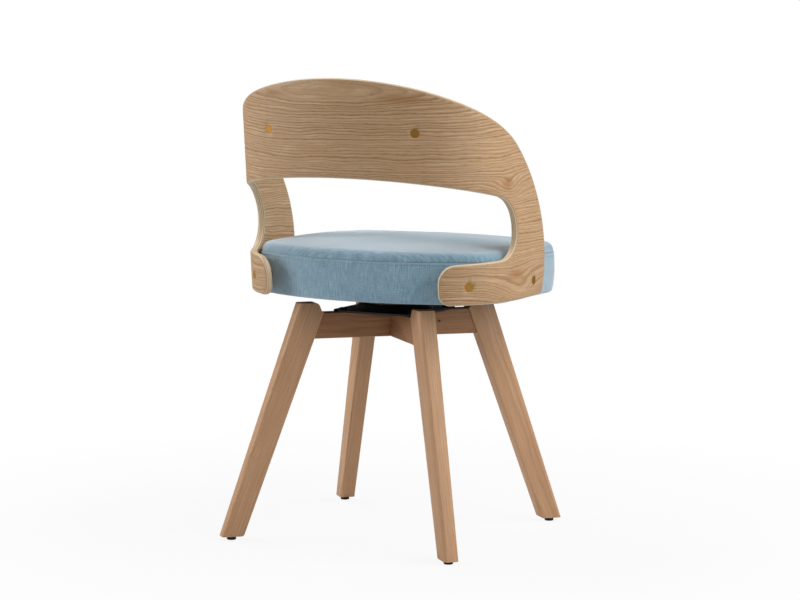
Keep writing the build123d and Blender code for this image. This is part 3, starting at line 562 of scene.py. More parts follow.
def blank_outline():
    """The flat blank's closed outline, clockwise as s runs right and z up, from the top's middle."""
    top_z, arm_z, reach, arm_r = 0.74402, 0.470, 0.416, 0.160
    tab, tab_level, tab_z, tab_height, tab_rise = 0.1575, 0.192, 0.394, 0.063, radians(2.8)
    window, window_rise, arch_r, arm_turn = 0.311, 0.1262, 1.350, radians(27)

    def low(s):
        return tab_z + (s - tab_level) * tan(tab_rise)

    def arch(s):
        return low(window) + tab_height + window_rise - (arch_r - sqrt(arch_r ** 2 - s ** 2))

    def straight(p, q):
        steps = max(2, int((Vector(q) - p).length / OUTLINE_STEP))
        return [p.lerp(Vector(q), i / steps) for i in range(steps + 1)]

    line = [Vector((reach * sin(k), arm_z + (top_z - arm_z) * cos(k))) for k in
            [pi / 2 * i / 190 for i in range(191)]]
    line += [Vector((reach - arm_r + arm_r * cos(k), arm_z - arm_r * sin(k))) for k in
             [arm_turn * i / 30 for i in range(1, 31)]]
    for end, radius in (((tab, low(tab)), 0.014), ((tab, low(tab) + tab_height), 0.018),
                        ((window, low(window) + tab_height), 0.032), ((window, arch(window)), 0.046)):
        line = rounded_join(line, straight(line[-1], end), radius)
    head = [window - window * i / 140 for i in range(141)]
    line = rounded_join(line, [Vector((s, arch(s))) for s in head], 0.056)
    return line + [Vector((-p.x, p.y)) for p in reversed(line[1:-1])]


def drawn_in(loop, inset):
    """A clockwise loop moved inwards."""
    moved = []
    for i, p in enumerate(loop):
        way = (loop[(i + 1) % len(loop)] - loop[i - 1]).normalized()
        moved.append(p + Vector((way.y, -way.x)) * inset)
    return moved


def filled(loop, holes, columns=0.006, rows=0.011, clear=0.002):
    """Fills a loop less its round holes with triangles over a grid of points. Returns points, triangles and
    the numbers of the loop's and the holes' own points."""
    inside = []
    centres = [(sum(h, Vector((0, 0))) / len(h), (h[0] - h[len(h) // 2]).length / 2) for h in holes]
    far = max(p.x for p in loop)
    for i in range(int(-far / columns), int(far / columns) + 1):
        s = (i + 0.37) * columns    # off the middle, so that no column meets a point of the outline
        cuts = sorted(p.y + (q.y - p.y) * (s - p.x) / (q.x - p.x) for p, q in zip(loop, loop[1:] + loop[:1])
                      if (p.x - s) * (q.x - s) < 0)
        for low, high in zip(cuts[::2], cuts[1::2]):
            count = int((high - low) / rows)
            for j in range(1, count):
                p = Vector((s, low + (high - low) * j / count))
                if all((p - c).length > r + clear for c, r in centres):
                    inside.append(p)
    verts, edges = [], []
    for line in (loop, *holes):
        first = len(verts)
        verts += line
        edges += [(first + i, first + (i + 1) % len(line)) for i in range(len(line))]
    scale = 1000.0      # it works in mm, with a tolerance of a ten-thousandth
    result = delaunay_2d_cdt([v * scale for v in verts + inside], edges, [], 1, 1e-4)
    points = [v / scale for v in result[0]]
    number = {old: new for new, olds in enumerate(result[3]) for old in olds}
    faces = []
    for face in result[2]:
        middle = sum((points[i] for i in face), Vector((0, 0))) / len(face)
        if all((middle - c).length > r * 0.98 for c, r in centres):
            faces.append(face)
    return points, faces, [number[i] for i in range(len(verts))]


def screw_spots():
    """Where the brass screws sit on the outer face, as (s, z)."""
    return [(side * s, z) for side in (1, -1) for s, z in ((0.1315, 0.66152), (0.207, 0.422), (0.367, 0.422))]


class CHAIR_OT_back_shell(bpy.types.Operator):
    """Bent plywood back: band, arms, tabs and window, with rounded edges and countersunk holes"""
    bl_idname = "chair.back_shell"
    bl_label = "Bent plywood back"

    def execute(self, context):
        sizes = context.scene.chair_shell
        outline = blank_outline()
        hole_sides = 32
        turns = [pi / 2 * k / 4 for k in range(5)]
        rings = [(sizes.edge_round * (1 - sin(t)), sizes.edge_round * (1 - cos(t))) for t in turns]
        rings += [(0.0, sizes.ply / 2)] + [(inset, sizes.ply - depth) for inset, depth in reversed(rings)]
        # hole section, radius and depth: countersink for the head, then a plain bore
        section = [(0.0074, 0.0), (0.0071, 0.0003), (0.0035, 0.0040), (0.0032, 0.0046),
                   (0.0032, sizes.ply - 0.0003), (0.0035, sizes.ply)]
        verts, faces, ends = [], [], []

        def circle(spot, radius, depth):
            s, z = spot
            z += tan(sizes.lean) * cos(shell_turn(s)) * depth
            turns = [2 * pi * i / hole_sides for i in range(hole_sides)]
            return [Vector((s + radius * cos(t), z + radius * sin(t))) for t in turns]

        def wall(last, end, rows, make, runs):
            """Joins two loops of points, one on each face of the sheet, by rows of quads."""
            for (_, depth_a), (reach, depth) in pairwise(rows):
                here = end
                if depth < sizes.ply - 1e-6:
                    here = range(len(verts), len(verts) + len(last))
                    verts.extend([bent(p.x, p.y, depth) for p in make(reach, depth)])
                for i in range(len(last)):
                    j = (i + 1) % len(last)
                    uvs = [(runs[i], depth_a), (runs[i + 1], depth_a), (runs[i + 1], depth), (runs[i], depth)]
                    faces.append(([last[i], last[j], here[j], here[i]], uvs, 1))
                last = here

        for depth, column in ((0.0, 0), (sizes.ply, -1)):
            holes = [circle(spot, section[column][0], depth) for spot in screw_spots()]
            points, fill, fixed = filled(drawn_in(outline, rings[column][0]), holes)
            first = len(verts)
            verts += [bent(p.x, p.y, depth) for p in points]
            # the inner face shows another part of the same veneer
            spots = [(p.x, p.y) if depth == 0 else (-p.x * 0.97 + 0.05, p.y + 0.31) for p in points]
            faces += [([first + i for i in face], [spots[i] for i in face], 0) for face in fill]
            ends.append([first + i for i in fixed])
        lengths = [0.0]
        for p, q in zip(outline, outline[1:] + outline[:1]):
            lengths.append(lengths[-1] + (q - p).length)
        count = len(outline)
        wall(ends[0][:count], ends[1][:count], rings, lambda inset, depth: drawn_in(outline, inset), lengths)
        for n, spot in enumerate(screw_spots()):
            rim = slice(count + hole_sides * n, count + hole_sides * (n + 1))
            wall(ends[0][rim], ends[1][rim], section, lambda radius, depth: circle(spot, radius, depth),
                 [i * MM for i in range(hole_sides + 1)])
        mesh = mesh_of("bent_plywood_back", verts, faces, [ash_veneer(), ply_edge()])
        piece("bent_plywood_back", mesh, "seat", "veneered_plywood", "back_shell")
        return {"FINISHED"}


# ---- repeated pieces, by geometry nodes ----

def new_tree(name, shape, *lengths):
    """A geometry nodes tree with its named inputs: a geometry, lengths and a material. Returns them too."""
    tree = bpy.data.node_groups.new(name, "GeometryNodeTree")
    kinds = {shape: "Geometry", **dict.fromkeys(lengths, "Float"), "Material": "Material"}
    for label, kind in kinds.items():
        tree.interface.new_socket(label, in_out="INPUT", socket_type="NodeSocket" + kind)
    tree.interface.new_socket("Geometry", in_out="OUTPUT", socket_type="NodeSocketGeometry")
    return tree, add(tree, "NodeGroupInput").outputs


def end_tree(tree, copies, start):
    """Makes a tree's copies real and gives them the material."""
    real = add(tree, "GeometryNodeRealizeInstances", (copies,))
    painted = add(tree, "GeometryNodeSetMaterial", {"Geometry": real, "Material": start["Material"]})
    add(tree, "NodeGroupOutput", (painted,))
    return tree


def run_tree(name, tree, mesh, values):
    """Runs a tree on a mesh with its named inputs set, and returns the result as a plain mesh."""
    obj = placed(name, mesh)
    modifier = obj.modifiers.new(name, "NODES")
    modifier.node_group = tree
    for item in tree.interface.items_tree:
        if item.in_out == "INPUT" and item.name in values:
            modifier[item.identifier] = values[item.name]
    result = evaluated(obj)
    obj.modifiers.remove(modifier)
    bpy.data.objects.remove(obj)
    result.materials.clear()
    result.materials.append(values["Material"])
    for poly in result.polygons:
        poly.material_index = 0
    return result


def row_tree(name, square):
    """A tree that repeats a round stitch or a square staple along a line of edges."""
    tree, start = new_tree(name, "Line", "Pitch", "Length", "Thickness")
    line = add(tree, "GeometryNodeMeshToCurve", (start["Line"],))
    even = add(tree, "GeometryNodeResampleCurve", {"Curve": line, "Length": start["Pitch"]}, mode="LENGTH")
    tangent = add(tree, "GeometryNodeInputTangent")
    turn = add(tree, "FunctionNodeAlignRotationToVector", {"Vector": tangent}, axis="X")
    size = add(tree, "CombineXYZ", (start["Length"], start["Thickness"], start["Thickness"]))
    if square:
        shape = add(tree, "GeometryNodeMeshCube", (size,))
    else:
        ball = add(tree, "GeometryNodeMeshUVSphere", {"Segments": 8, "Rings": 5, "Radius": 0.5})
        shape = add(tree, "GeometryNodeTransform", {"Geometry": ball, "Scale": size})
        shape = add(tree, "GeometryNodeSetShadeSmooth", (shape,))
    return end_tree(tree, add(tree, "GeometryNodeInstanceOnPoints",
                              {"Points": even, "Instance": shape, "Rotation": turn}), start)


def row_along(name, points, slot, mat, pitch, run, thickness, square=False):
    """A piece made of small copies along a closed line of points: stitches, or square staples."""
    line = bpy.data.meshes.new(name)
    edges = [(i, (i + 1) % len(points)) for i in range(len(points))]
    line.from_pydata([tuple(p) for p in points], edges, [])
    mesh = run_tree(name, row_tree(name, square), line,
                    {"Pitch": pitch, "Length": run, "Thickness": thickness, "Material": mat})
    piece(name, mesh, "seat", slot)


def screw_tree():
    """Screws at points: a flat head with an eased rim, a cone and a shank, turned to each point's facing."""
    tree, start = new_tree("flat_screws", "Points", "Head radius", "Rim", "Cone", "Shank radius")
    inner = add(tree, "SUBTRACT", (start["Head radius"], start["Rim"]))
    rim_z = add(tree, "MULTIPLY", (start["Rim"], -1.0))
    cone_z = add(tree, "SUBTRACT", (rim_z, start["Cone"]))
    head, every = (add(tree, "GeometryNodeJoinGeometry") for _ in range(2))
    for top, bottom, depth, low in ((start["Head radius"], start["Shank radius"], start["Cone"], cone_z),
                                    (inner, start["Head radius"], start["Rim"], rim_z)):
        part = add(tree, "GeometryNodeMeshCone", {"Vertices": 40, "Radius Top": top, "Radius Bottom": bottom,
                                                  "Depth": depth})
        place = add(tree, "CombineXYZ", (0.0, 0.0, low))
        part = add(tree, "GeometryNodeTransform", {"Geometry": part, "Translation": place})
        tree.links.new(source(part), head.inputs[0])
    rod = add(tree, "GeometryNodeMeshCylinder", {"Vertices": 24, "Radius": start["Shank radius"],
                                                 "Depth": 1.0})
    rod = add(tree, "GeometryNodeTransform", {"Geometry": rod, "Translation": (0, 0, -0.53)})
    run = add(tree, "GeometryNodeInputNamedAttribute", {"Name": "length"}, data_type="FLOAT")
    facing = add(tree, "GeometryNodeInputNamedAttribute", {"Name": "facing"}, data_type="FLOAT_VECTOR")
    turn = add(tree, "FunctionNodeAlignRotationToVector", {"Vector": facing}, axis="Z")
    points = add(tree, "GeometryNodeMeshToPoints", (start["Points"],))
    for shape, scale in ((head, (1.0, 1.0, 1.0)), (rod, add(tree, "CombineXYZ", (1.0, 1.0, run)))):
        copies = add(tree, "GeometryNodeInstanceOnPoints",
                     {"Points": points, "Instance": shape, "Rotation": turn, "Scale": scale})
        tree.links.new(source(copies), every.inputs[0])
    return end_tree(tree, every, start)


class CHAIR_OT_brass_screws(bpy.types.Operator):
    """Flat brass-plated screws through the plywood: two in the band, two in each tab"""
    bl_idname = "chair.brass_screws"
    bl_label = "Brass screws"

    def execute(self, context):
        sizes = context.scene.chair_shell
        tree = screw_tree()
        brass = plated_metal("brass-plated steel, aged", "#A67A36", "#C0944A", 0.55)
        # the rear screw of each tab is longer, because the block lies further in there, behind the bend
        band_z, rear_screw, rear_extra = 0.6, (0.20, 0.22), 0.0102
        groups = (("band_screws", "back_screws", [s for s in screw_spots() if s[1] > band_z], 0.0236),
                  ("tab_screws", "side_screws", [s for s in screw_spots() if s[1] < band_z], 0.0355))
        for name, node, spots, run in groups:
            mesh = bpy.data.meshes.new(name)
            mesh.from_pydata([tuple(bent(s, z, 0.00005)) for s, z in spots], [], [])
            mesh.attributes.new("facing", "FLOAT_VECTOR", "POINT")
            mesh.attributes.new("length", "FLOAT", "POINT")
            facing, runs = mesh.attributes["facing"], mesh.attributes["length"]
            for i, (s, z) in enumerate(spots):
                k = shell_turn(s)
                way = Vector(((1 if s > 0 else -1) * sin(k), cos(k), -tan(sizes.lean) * cos(k)))
                facing.data[i].vector = way.normalized()
                runs.data[i].value = run + (rear_extra if rear_screw[0] < abs(s) < rear_screw[1] else 0.0)
            mesh = run_tree(name, tree, mesh, {"Head radius": 0.00725, "Rim": 0.0003, "Cone": 0.0040,
                                               "Shank radius": 0.003, "Material": brass})
            piece(name, mesh, "seat", "brass_plate", node)
        return {"FINISHED"}


# ---- upholstery ----

def cushion_mesh(name, plan, profile, insets, crown, shrinks, centre, place):
    """A closed cushion. profile is the side's (inset, height) in mm from the underside up to the seam. insets
    are the rings after it, whose height crown(inset, point) gives. shrinks draw the last ring to the centre.
    place turns a plan point and a height into a point in space."""
    points, normals, total = plan
    count = len(points)

    def drawn(inset):
        return [p + n * (inset * MM) for p, n in zip(points, normals)]

    rings = [[(p, height * MM) for p in drawn(inset)] for inset, height in profile]
    rings += [[(p, crown(inset, p)) for p in drawn(inset)] for inset in insets]
    past_rim = 1000.0
    edge = [p for p, h in rings[-1]]
    for share in shrinks:
        ring = [p.lerp(centre, share) for p in edge]
        rings.append([(p, crown(past_rim, p)) for p in ring])
    verts = [place(p, h) for ring in rings for p, h in ring]
    verts += [place(centre, crown(past_rim, centre)), place(centre, profile[0][1] * MM)]
    run = [total * i / count for i in range(count + 1)]
    climb = [0.0]
    for (a, b), (c, d) in pairwise(profile):
        climb.append(climb[-1] + hypot(c - a, d - b) * MM)
    faces = []
    for r, (here, up) in enumerate(pairwise(rings)):
        for i in range(count):
            j = (i + 1) % count
            uvs = [(p.y, p.x) for p, _ in (here[i], here[j], up[j], up[i])]
            if r < len(profile) - 1:
                a, b, c, d = run[i], run[i + 1], climb[r], climb[r + 1]
                uvs = [(a, c), (b, c), (b, d), (a, d)]
            first = r * count
            faces.append(([first + i, first + j, first + count + j, first + count + i], uvs, 0))
    ends = ((rings[-1], (len(rings) - 1) * count, len(verts) - 2, 0, 1), (rings[0], 0, len(verts) - 1, 1, 0))
    for i in range(count):
        for ring, first, tip, a, b in ends:
            pair = [(i + a) % count, (i + b) % count]
            uvs = [(p.y, p.x) for p in (ring[pair[0]][0], ring[pair[1]][0], centre)]
            faces.append(([first + pair[0], first + pair[1], tip], uvs, 0))
    return mesh_of(name, verts, faces, [made_once(woven_cover, COVER)])


def rows_of(rows, count):
    """The numbers of the vertices in some rows of a cushion."""
    return [i for r in rows for i in range(r * count, (r + 1) * count)]


def puffed(mesh, held, cap, pressure):
    """Lets the cloth swell as stuffed cloth does: a cloth simulation with some vertices held. The foam inside
    keeps the cloth from sinking, so only the way out counts, and it never goes further than the cap."""
    scene = bpy.context.scene
    obj = placed("cloth_run", mesh.copy())
    group = obj.vertex_groups.new(name="held")
    group.add(held, 1.0, "REPLACE")
    cloth = obj.modifiers.new("cloth", "CLOTH")
    values = {"quality": 6, "mass": 0.3, "tension_stiffness": 18, "compression_stiffness": 18,
              "shear_stiffness": 8, "bending_stiffness": 0.8, "vertex_group_mass": "held",
              "use_pressure": True, "uniform_pressure_force": pressure}
    for key, value in values.items():
        setattr(cloth.settings, key, value)
    cloth.settings.effector_weights.gravity = 0
    cloth.point_cache.frame_start = 1
    cloth.point_cache.frame_end = 20
    for number in range(1, 21):
        scene.frame_set(number)
    moved = evaluated(obj)
    facing = [vertex.normal.copy() for vertex in mesh.vertices]
    for before, after, way in zip(mesh.vertices, moved.vertices, facing):
        swell = max((after.co - before.co).dot(way), 0.0)
        before.co += way * swell * cap / (swell + cap)
    scene.frame_set(1)
    bpy.data.objects.remove(obj)


def rising(t):
    """The height of a stuffed edge from its seam, 0 to 1, as t goes from 0 to 1 inwards."""
    t = min(max(t, 0.0), 1.0)
    return (1 - (1 - t) ** 2.4) ** (1 / 2.1)


def seat_runs(half):
    """The seat's outline as arcs and straights, anticlockwise from the rear's right end."""
    rear, rear_arc, rear_corner = 0.150, 0.355, 0.080
    front, front_arc, front_corner = 0.2189, 1.500, 0.088
    rt = asin((half - rear_corner) / (rear_arc - rear_corner))
    ft = asin((half - front_corner) / (front_arc - front_corner))
    ry, fy = rear - rear_arc, front - front_arc
    rc = ry + (rear_arc - rear_corner) * cos(rt)
    fc = fy + (front_arc - front_corner) * cos(ft)
    return [("arc", Vector((0, ry)), rear_arc, pi / 2 - rt, pi / 2 + rt),
            ("arc", Vector((rear_corner - half, rc)), rear_corner, pi / 2 + rt, pi),
            ("line", Vector((-half, rc)), Vector((-half, -fc))),
            ("arc", Vector((front_corner - half, -fc)), front_corner, pi, 3 * pi / 2 - ft),
            ("arc", Vector((0, -fy)), front_arc, 3 * pi / 2 - ft, 3 * pi / 2 + ft),
            ("arc", Vector((half - front_corner, -fc)), front_corner, 3 * pi / 2 + ft, 2 * pi),
            ("line", Vector((half, -fc)), Vector((half, rc))),
            ("arc", Vector((half - rear_corner, rc)), rear_corner, 0.0, pi / 2 - rt)]


class CHAIR_OT_seat_cushion(bpy.types.Operator):
    """Upholstered seat: straight boxing, a sewn seam with its topstitch, and a crowned top panel"""
    bl_idname = "chair.seat_cushion"
    bl_label = "Seat cushion"

    def execute(self, context):
        sizes = context.scene.chair_seat
        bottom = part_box("seat_cover")[0].z
        plan = along(seat_runs(sizes.half_width), 420)
        points, normals, total = plan
        # inset and height in mm: underside, lower edge, boxing, the topstitch's channel, the seam
        profile = [(36.0, 1.2), (36.0, 0.0), (20.0, 0.0), (9.0, 0.0), (5.0, 0.3), (3.0, 1.6), (1.9, 4.0),
                   (1.0, 8.0), (0.2, 14.0), (-0.5, 20.0), (-1.0, 27.0), (-1.2, 34.0), (-1.0, 41.0),
                   (-0.7, 48.0), (-0.4, 54.0), (-0.2, 57.6), (0.1, 59.6), (0.7, 60.6), (0.1, 61.5),
                   (0.0, 63.0), (0.2, 64.4), (1.0, 65.4), (3.2, 66.0)]
        insets = [2.6, 1.8, 1.6, 1.7, 2.1, 2.8, 3.8, 5.2, 7.0, 9.2, 12.0, 15.5, 20.0, 26.0, 33.0, 41.0, 50.0,
                  60.0, 70.0]
        heights = {2.6: 66.4, 1.8: 66.9, 1.6: 67.6}    # the top panel's first rings, right over the seam
        dome_r = (sizes.half_width ** 2 + sizes.crown_fall ** 2) / (2 * sizes.crown_fall)
        middle = Vector((0.0, (0.150 - 0.2189) / 2))

        def crown(inset, p):
            if inset in heights:
                return heights[inset] * MM
            dome = sizes.crown - (p - middle).length_squared / (2 * dome_r) + 0.6 * MM
            t = (inset - 1.4) / 15
            puck = noise.noise(Vector((p.x * 14, p.y * 14, 3.0))) * 0.5 * MM * min(t, 1.0)
            return sizes.seam_height + dome * rising(t) + puck

        mesh = cushion_mesh("seat_cushion", plan, profile, insets, crown,
                            [0.12, 0.25, 0.38, 0.52, 0.66, 0.8, 0.92], middle,
                            lambda p, h: Vector((p.x, p.y, bottom + h)))
        count = len(points)
        seam_ring = len(profile) - 1
        held = rows_of([*range(6), *range(seam_ring - 6, seam_ring + 3)], count) + [len(mesh.vertices) - 1]
        puffed(mesh, held, sizes.puff, 3.0)
        # puckers that the seam's thread draws into both panels, 9 to 14 mm apart: row from the seam, and mm
        depths = {-1: 0.30, -2: 0.40, -3: 0.38, -7: 0.30, -8: 0.34, -9: 0.28, 4: 0.30, 5: 0.40, 6: 0.42,
                  7: 0.40, 8: 0.30, 9: 0.18}
        for row, depth in depths.items():
            for i, n in enumerate(normals):
                run = total * i / count
                wave = noise.noise(Vector((run * 85, 0.4 * (row > 0), 7.0)))
                wave += 0.5 * noise.noise(Vector((run * 210, 2.0, 1.0)))
                mesh.vertices[(seam_ring + row) * count + i].co += n.to_3d() * wave * depth * MM
        cushion = piece("seat_cushion", mesh, "seat", "woven_cover", "seat_cover")
        # the topstitch lies in the little channel 5 mm below the seam
        first = (seam_ring - 5) * count
        path = [mesh.vertices[first + i].co - n.to_3d() * 0.3 * MM for i, n in enumerate(normals)]
        row_along("seat_topstitch", path, "woven_cover", made_once(thread, THREAD), sizes.stitch_pitch,
                  sizes.stitch_length, 0.8 * MM)
        return {"FINISHED"}


class CHAIR_OT_seat_underside(bpy.types.Operator):
    """Dust cloth under the seat with its row of staples"""
    bl_idname = "chair.seat_underside"
    bl_label = "Seat underside"

    def execute(self, context):
        paint("dust_cover", spunbond_cloth())
        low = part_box("dust_cover")[0].z
        points, normals, _ = along(seat_runs(context.scene.chair_seat.half_width), 300)
        path = [(p + n * 25.5 * MM).to_3d() + Vector((0, 0, low - 0.2 * MM)) for p, n in zip(points, normals)]
        zinc = plated_metal("galvanised wire", "#9A9C9E", "#C4C6C8", 0.35)
        row_along("dust_cloth_staples", path, "zinc_steel", zinc, 31 * MM, 10 * MM, 0.7 * MM, square=True)
        return {"FINISHED"}


class CHAIR_OT_back_pad(bpy.types.Operator):
    """Upholstered pad on the inside of the band, curved with it, with a sewn seam and its topstitch"""
    bl_idname = "chair.back_pad"
    bl_label = "Back pad"

    def execute(self, context):
        shell, seat = context.scene.chair_shell, context.scene.chair_seat
        back_r = shell.rear_arc - shell.ply - 0.3 * MM
        low, high, seam = 0.60302, 0.70602, 18 * MM
        half, rise, corner = back_r * radians(25.5) + 1.0 * MM, (high - low) / 2 + 0.6 * MM, 14.5 * MM
        runs = []
        spots = ((half - corner, rise - corner, 0.0), (corner - half, rise - corner, pi / 2),
                 (corner - half, corner - rise, pi), (half - corner, corner - rise, 3 * pi / 2))
        for (x, y, turn), (nx, ny, _) in zip(spots, spots[1:] + spots[:1]):
            runs.append(("arc", Vector((x, y)), corner, turn, turn + pi / 2))
            outward = Vector((cos(turn + pi / 2), sin(turn + pi / 2))) * corner
            runs.append(("line", Vector((x, y)) + outward, Vector((nx, ny)) + outward))
        plan = along(runs, 300)

        def lift(p):
            """The seam climbs over the bulge of the foam at the pad's two ends."""
            end = min(max((abs(p.x) - half + 30 * MM) / (24 * MM), 0.0), 1.0)
            return 7.5 * MM * max(0.0, 1 - (p.y / rise) ** 2) * end * end * (3 - 2 * end)

        def place(p, h):
            # the side stretches with the lift, but the thread holds the seam's own ring down
            if h < seam:
                h += lift(p) * h / seam
            k, r = p.x / back_r, back_r - h
            y = shell.ply - shell.rear_arc + r * cos(k)
            z = (low + high) / 2 + p.y - shell.lean_level
            return Vector((-r * sin(k), shell.rear - shell.ply + y * cos(shell.lean) + z * sin(shell.lean),
                           shell.lean_level - y * sin(shell.lean) + z * cos(shell.lean)))

        # inset and height in mm: back edge, side, the topstitch's channel, the seam
        profile = [(13.0, 0.0), (6.0, 0.0), (2.4, 0.6), (1.0, 2.4), (0.5, 5.0), (0.2, 8.0), (0.1, 11.0),
                   (0.3, 13.0), (0.8, 14.0), (0.5, 15.0), (0.7, 16.6), (1.1, 17.4), (1.7, 18.0)]
        insets = [1.5, 1.2, 1.1, 1.5, 2.4, 3.8, 5.6, 7.8, 10.4, 12.9]
        heights = {1.5: 18.5, 1.2: 19.0}    # the front panel's first rings, right over the seam

        def crown(inset, p):
            if inset in heights:
                return heights[inset] * MM + lift(p)
            t = (inset - 0.9) / 10.5
            dome = 7.8 * MM + 10.4 * MM * max(0.0, 1 - (p.y / rise) ** 2)
            puck = noise.noise(Vector((p.x * 22, p.y * 22, 9.0))) * 0.4 * MM * min(t, 1.0)
            return seam + lift(p) + (dome - lift(p)) * rising(t) + puck

        mesh = cushion_mesh("back_pad", plan, profile, insets, crown, [0.12, 0.26, 0.42, 0.58, 0.74, 0.88],
                            Vector((0.0, 0.0)), place)
        count = len(plan[0])
        seam_ring = len(profile) - 1
        held = rows_of([*range(4), *range(seam_ring - 5, seam_ring + 2)], count) + [len(mesh.vertices) - 1]
        puffed(mesh, held, 1.2 * MM, 2.0)
        pad = piece("back_pad", mesh, "seat", "woven_cover", "back_pad_cover")
        path = [mesh.vertices[(seam_ring - 4) * count + i].co for i in range(count)]
        centre = sum(path, Vector()) / count
        path = [p + (p - centre).normalized() * 0.3 * MM for p in path]
        row_along("pad_topstitch", path, "woven_cover", made_once(thread, THREAD), seat.stitch_pitch,
                  seat.stitch_length, 0.8 * MM)
        return {"FINISHED"}


# ---- wooden base ----

def paint(node, mat):
    """Gives every slot of a CAD node a material."""
    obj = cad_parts[node]
    if not obj.material_slots:
        obj.data.materials.append(mat)
    for slot in obj.material_slots:
        slot.material = mat


def round_foot(form, outward):
    """Draws the round at the foot's inner corner down until it runs into the floor end."""
    centre_r, centre_z, radius = 0.2590, 0.0178, 0.007
    foot_z, right, near = 0.006, 0.0018, 0.0001
    down = centre_z - radius - foot_z
    for vertex in form.verts:
        r, z = vertex.co.dot(outward), vertex.co.z
        if z < centre_z + radius and r < centre_r + near:
            if abs(hypot(r - centre_r, z - centre_z) - radius) < near:
                vertex.co += outward * right - Vector((0, 0, down))
            elif z < foot_z + near:
                vertex.co += outward * right
    bmesh.ops.remove_doubles(form, verts=form.verts, dist=near)


def wooden_piece(node, width, mat, origin, length_way, width_way, shift, change=None):
    """A piece from a merged copy of a CAD node's mesh, its sharp edges eased and its grain attribute written.
    change works on its bmesh first."""
    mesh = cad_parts[node].data.copy()
    form = bmesh.new()
    form.from_mesh(mesh)
    bmesh.ops.remove_doubles(form, verts=form.verts, dist=0.00001)
    if change:
        change(form)
    bmesh.ops.dissolve_limit(form, angle_limit=radians(0.6), verts=form.verts, edges=form.edges)
    form.to_mesh(mesh)
    form.free()
    obj = placed(node, mesh)
    bevel = obj.modifiers.new("eased", "BEVEL")
    bevel.width = width
    bevel.segments = 2
    bevel.limit_method = "ANGLE"
    bevel.angle_limit = radians(38)
    mesh = evaluated(obj)
    bpy.data.objects.remove(obj)
    mesh.shade_smooth()
    mesh.set_sharp_from_angle(angle=radians(50))
    side_way = length_way.cross(width_way)
    grain = mesh.attributes.new(GRAIN, "FLOAT_VECTOR", "POINT")
    for vertex, item in zip(mesh.vertices, grain.data):
        p = vertex.co - origin
        item.vector = Vector((p.dot(length_way), p.dot(width_way), p.dot(side_way))) + shift
    mesh.materials.clear()
    mesh.materials.append(mat)
    piece("beech_" + node, mesh, "base", "beech", node)


class CHAIR_OT_wooden_base(bpy.types.Operator):
    """Four splayed beech legs and two half-lapped cross rails, with eased edges and grain along each stick"""
    bl_idname = "chair.wooden_base"
    bl_label = "Wooden base"

    def execute(self, context):
        colours = context.scene.chair_colours
        legs = beech("steamed beech, matt lacquer", tuple(colours.beech), linear("#CEA078"),
                     linear("#AE7F5A"))
        # the rails take the same beech painted darker and warmer, as painted shade under the seat
        rails = beech("steamed beech, rails in painted shade", tuple(colours.beech_rails_painted_shade), linear("#AC7C54"),
                      linear("#875A3A"))
        up = Vector((0, 0, 1))
        for n, place in enumerate(("rear_left", "rear_right", "front_right", "front_left")):
            turn = radians(45 + 90 * n)
            outward = Vector((cos(turn), sin(turn), 0))
            foot, top = outward * 0.2742 + up * 0.006, outward * 0.14125 + up * 0.380
            way = (top - foot).normalized()
            across = (outward - way * outward.dot(way)).normalized()
            wooden_piece("leg_" + place, 0.0008, legs, foot, way, across,
                         Vector((0.7 * n, 0.013 * n, 0.21 * n)), lambda form: round_foot(form, outward))
        for n, place in enumerate(("upper", "lower")):
            turn = radians(45 + 90 * n)
            wooden_piece("cross_rail_" + place, 0.0005, rails, up * 0.343, Vector((cos(turn), sin(turn), 0)),
                         up, Vector((0.3 + 1.1 * n, 0.05, 0.4 + n)))
        return {"FINISHED"}


class CHAIR_OT_hardware(bpy.types.Operator):
    """Finishes for the swivel, its bearing, the fasteners, the glides and the parts inside"""
    bl_idname = "chair.hardware"
    bl_label = "Hardware finishes"

    def execute(self, context):
        finishes = (
            (lacquered_steel(), "swivel_lower_plate swivel_upper_plate base_bolts"),
            (plated_metal("zinc-plated steel", "#A9ABAD", "#CDD0D2", 0.32),
             "swivel_rivet rivet_washer base_inserts seat_bolts seat_t_nuts block_screws side_inserts "
             "back_t_nuts glide_nails"),
            (plated_metal("polished bearing steel", "#B4B6B8", "#D2D4D6", 0.14), "swivel_balls"),
            (moulded_nylon("moulded nylon, black", "#060607", "#111113"), "floor_glides shell_spacers"),
            (moulded_nylon("moulded nylon, natural", "#D8D2C0", "#E8E3D4"), "ball_cage"),
            (birch_ply(), "seat_board back_pad_core side_block_left side_block_right leg_dowels"),
            (seat_foam(), "seat_foam back_pad_foam"))
        for mat, nodes in finishes:
            for node in nodes.split():
                paint(node, mat)
        return {"FINISHED"}


# ---- stage ----

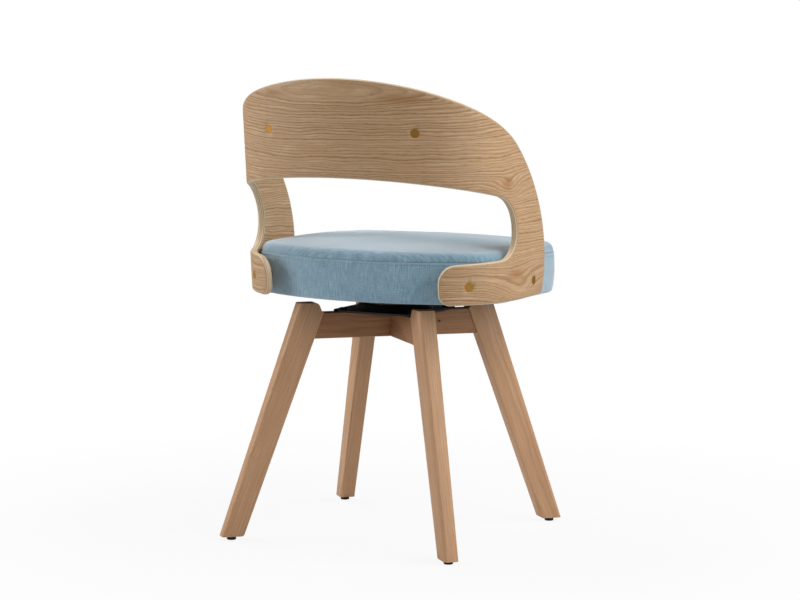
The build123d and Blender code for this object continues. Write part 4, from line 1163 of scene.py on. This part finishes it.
class CHAIR_OT_stage(bpy.types.Operator):
    """Pale paper floor, soft studio lamps and the camera"""
    bl_idname = "chair.stage"
    bl_label = "Stage"

    def execute(self, context):
        scene = context.scene
        settings = scene.chair_stage
        floor = bpy.data.meshes.new("paper_floor")
        size = 12.0
        floor.from_pydata([(-size, -size, 0), (size, -size, 0), (size, size, 0), (-size, size, 0)], [],
                          [(0, 1, 2, 3)])
        floor.materials.append(paper_floor())
        ground = placed("paper_floor", floor)

        world = bpy.data.worlds.new("soft_light")
        world.use_nodes = True
        tree = world.node_tree
        seen = add(tree, "LightPath").outputs["Is Camera Ray"]
        strength = add(tree, "MapRange", {"Value": seen, "To Min": settings.soft_light, "To Max": 1.0})
        back = tree.nodes["Background"]
        back.inputs["Color"].default_value = (1.0, 1.0, 1.0, 1.0)
        tree.links.new(source(strength), back.inputs["Strength"])
        scene.world = world

        # soft boxes round the seat: name, azimuth and elevation in degrees, share of the power
        lamps = (("left_box", 27, 18, 0.25), ("right_box", 207, 48, 0.22), ("front_box", 342, 50, 0.19),
                 ("high_box", 162, 50, 0.12), ("low_box", 168, 18, 0.14))
        aim, distance, width = Vector((0.0, 0.0, 0.45)), 2.8, 1.4
        for name, azimuth, height, share in lamps:
            data = bpy.data.lights.new(name, "AREA")
            data.shape = "SQUARE"
            data.size = width
            data.energy = settings.power * share
            lamp = placed(name, data)
            a, h = radians(azimuth), radians(height)
            way = Vector((cos(a) * cos(h), sin(a) * cos(h), sin(h)))
            lamp.location = aim + way * distance
            lamp.rotation_euler = (-way).to_track_quat("-Z", "Y").to_euler()

        eye = bpy.data.cameras.new("camera")
        eye.sensor_width = 36.0
        eye.lens = settings.focal
        camera = placed("camera", eye)
        right = Vector((-0.89182, -0.45235, 0.00576))
        up = Vector((0.05632, -0.09839, 0.99355))
        ahead = Vector((0.44886, -0.8864, -0.11322))
        turned = Matrix((right, up, -ahead)).transposed().to_4x4()
        camera.matrix_world = Matrix.Translation((-1.8787, 3.6909, 0.8516)) @ turned
        scene.camera = camera
        scene.view_settings.view_transform = "Standard"
        return {"FINISHED"}


PIECES = (CHAIR_OT_back_shell, CHAIR_OT_brass_screws, CHAIR_OT_seat_cushion, CHAIR_OT_seat_underside,
          CHAIR_OT_back_pad, CHAIR_OT_wooden_base, CHAIR_OT_hardware, CHAIR_OT_stage)
GROUPS = {"chair_shell": ChairShellSizes, "chair_seat": ChairSeatSizes, "chair_colours": ChairColours,
          "chair_stage": ChairStage}


class CHAIR_PT_pieces(bpy.types.Panel):
    bl_idname = "CHAIR_PT_pieces"
    bl_label = "Swivel dining chair"
    bl_space_type = "VIEW_3D"
    bl_region_type = "UI"
    bl_category = "Chair"

    def draw(self, context):
        for name, group in GROUPS.items():
            box = self.layout.box()
            for field in group.__annotations__:
                box.prop(getattr(context.scene, name), field)
        for kind in PIECES:
            self.layout.operator(kind.bl_idname)


def register():
    for kind in (*GROUPS.values(), *PIECES, CHAIR_PT_pieces):
        bpy.utils.register_class(kind)
    for name, group in GROUPS.items():
        setattr(bpy.types.Scene, name, PointerProperty(type=group))


def unregister():
    for name in GROUPS:
        delattr(bpy.types.Scene, name)
    for kind in (CHAIR_PT_pieces, *reversed(PIECES), *reversed(GROUPS.values())):
        bpy.utils.unregister_class(kind)


def main():
    register()
    for kind in PIECES:
        group, name = kind.bl_idname.split(".")
        getattr(getattr(bpy.ops, group), name)()


if __name__ == "__main__":
    main()
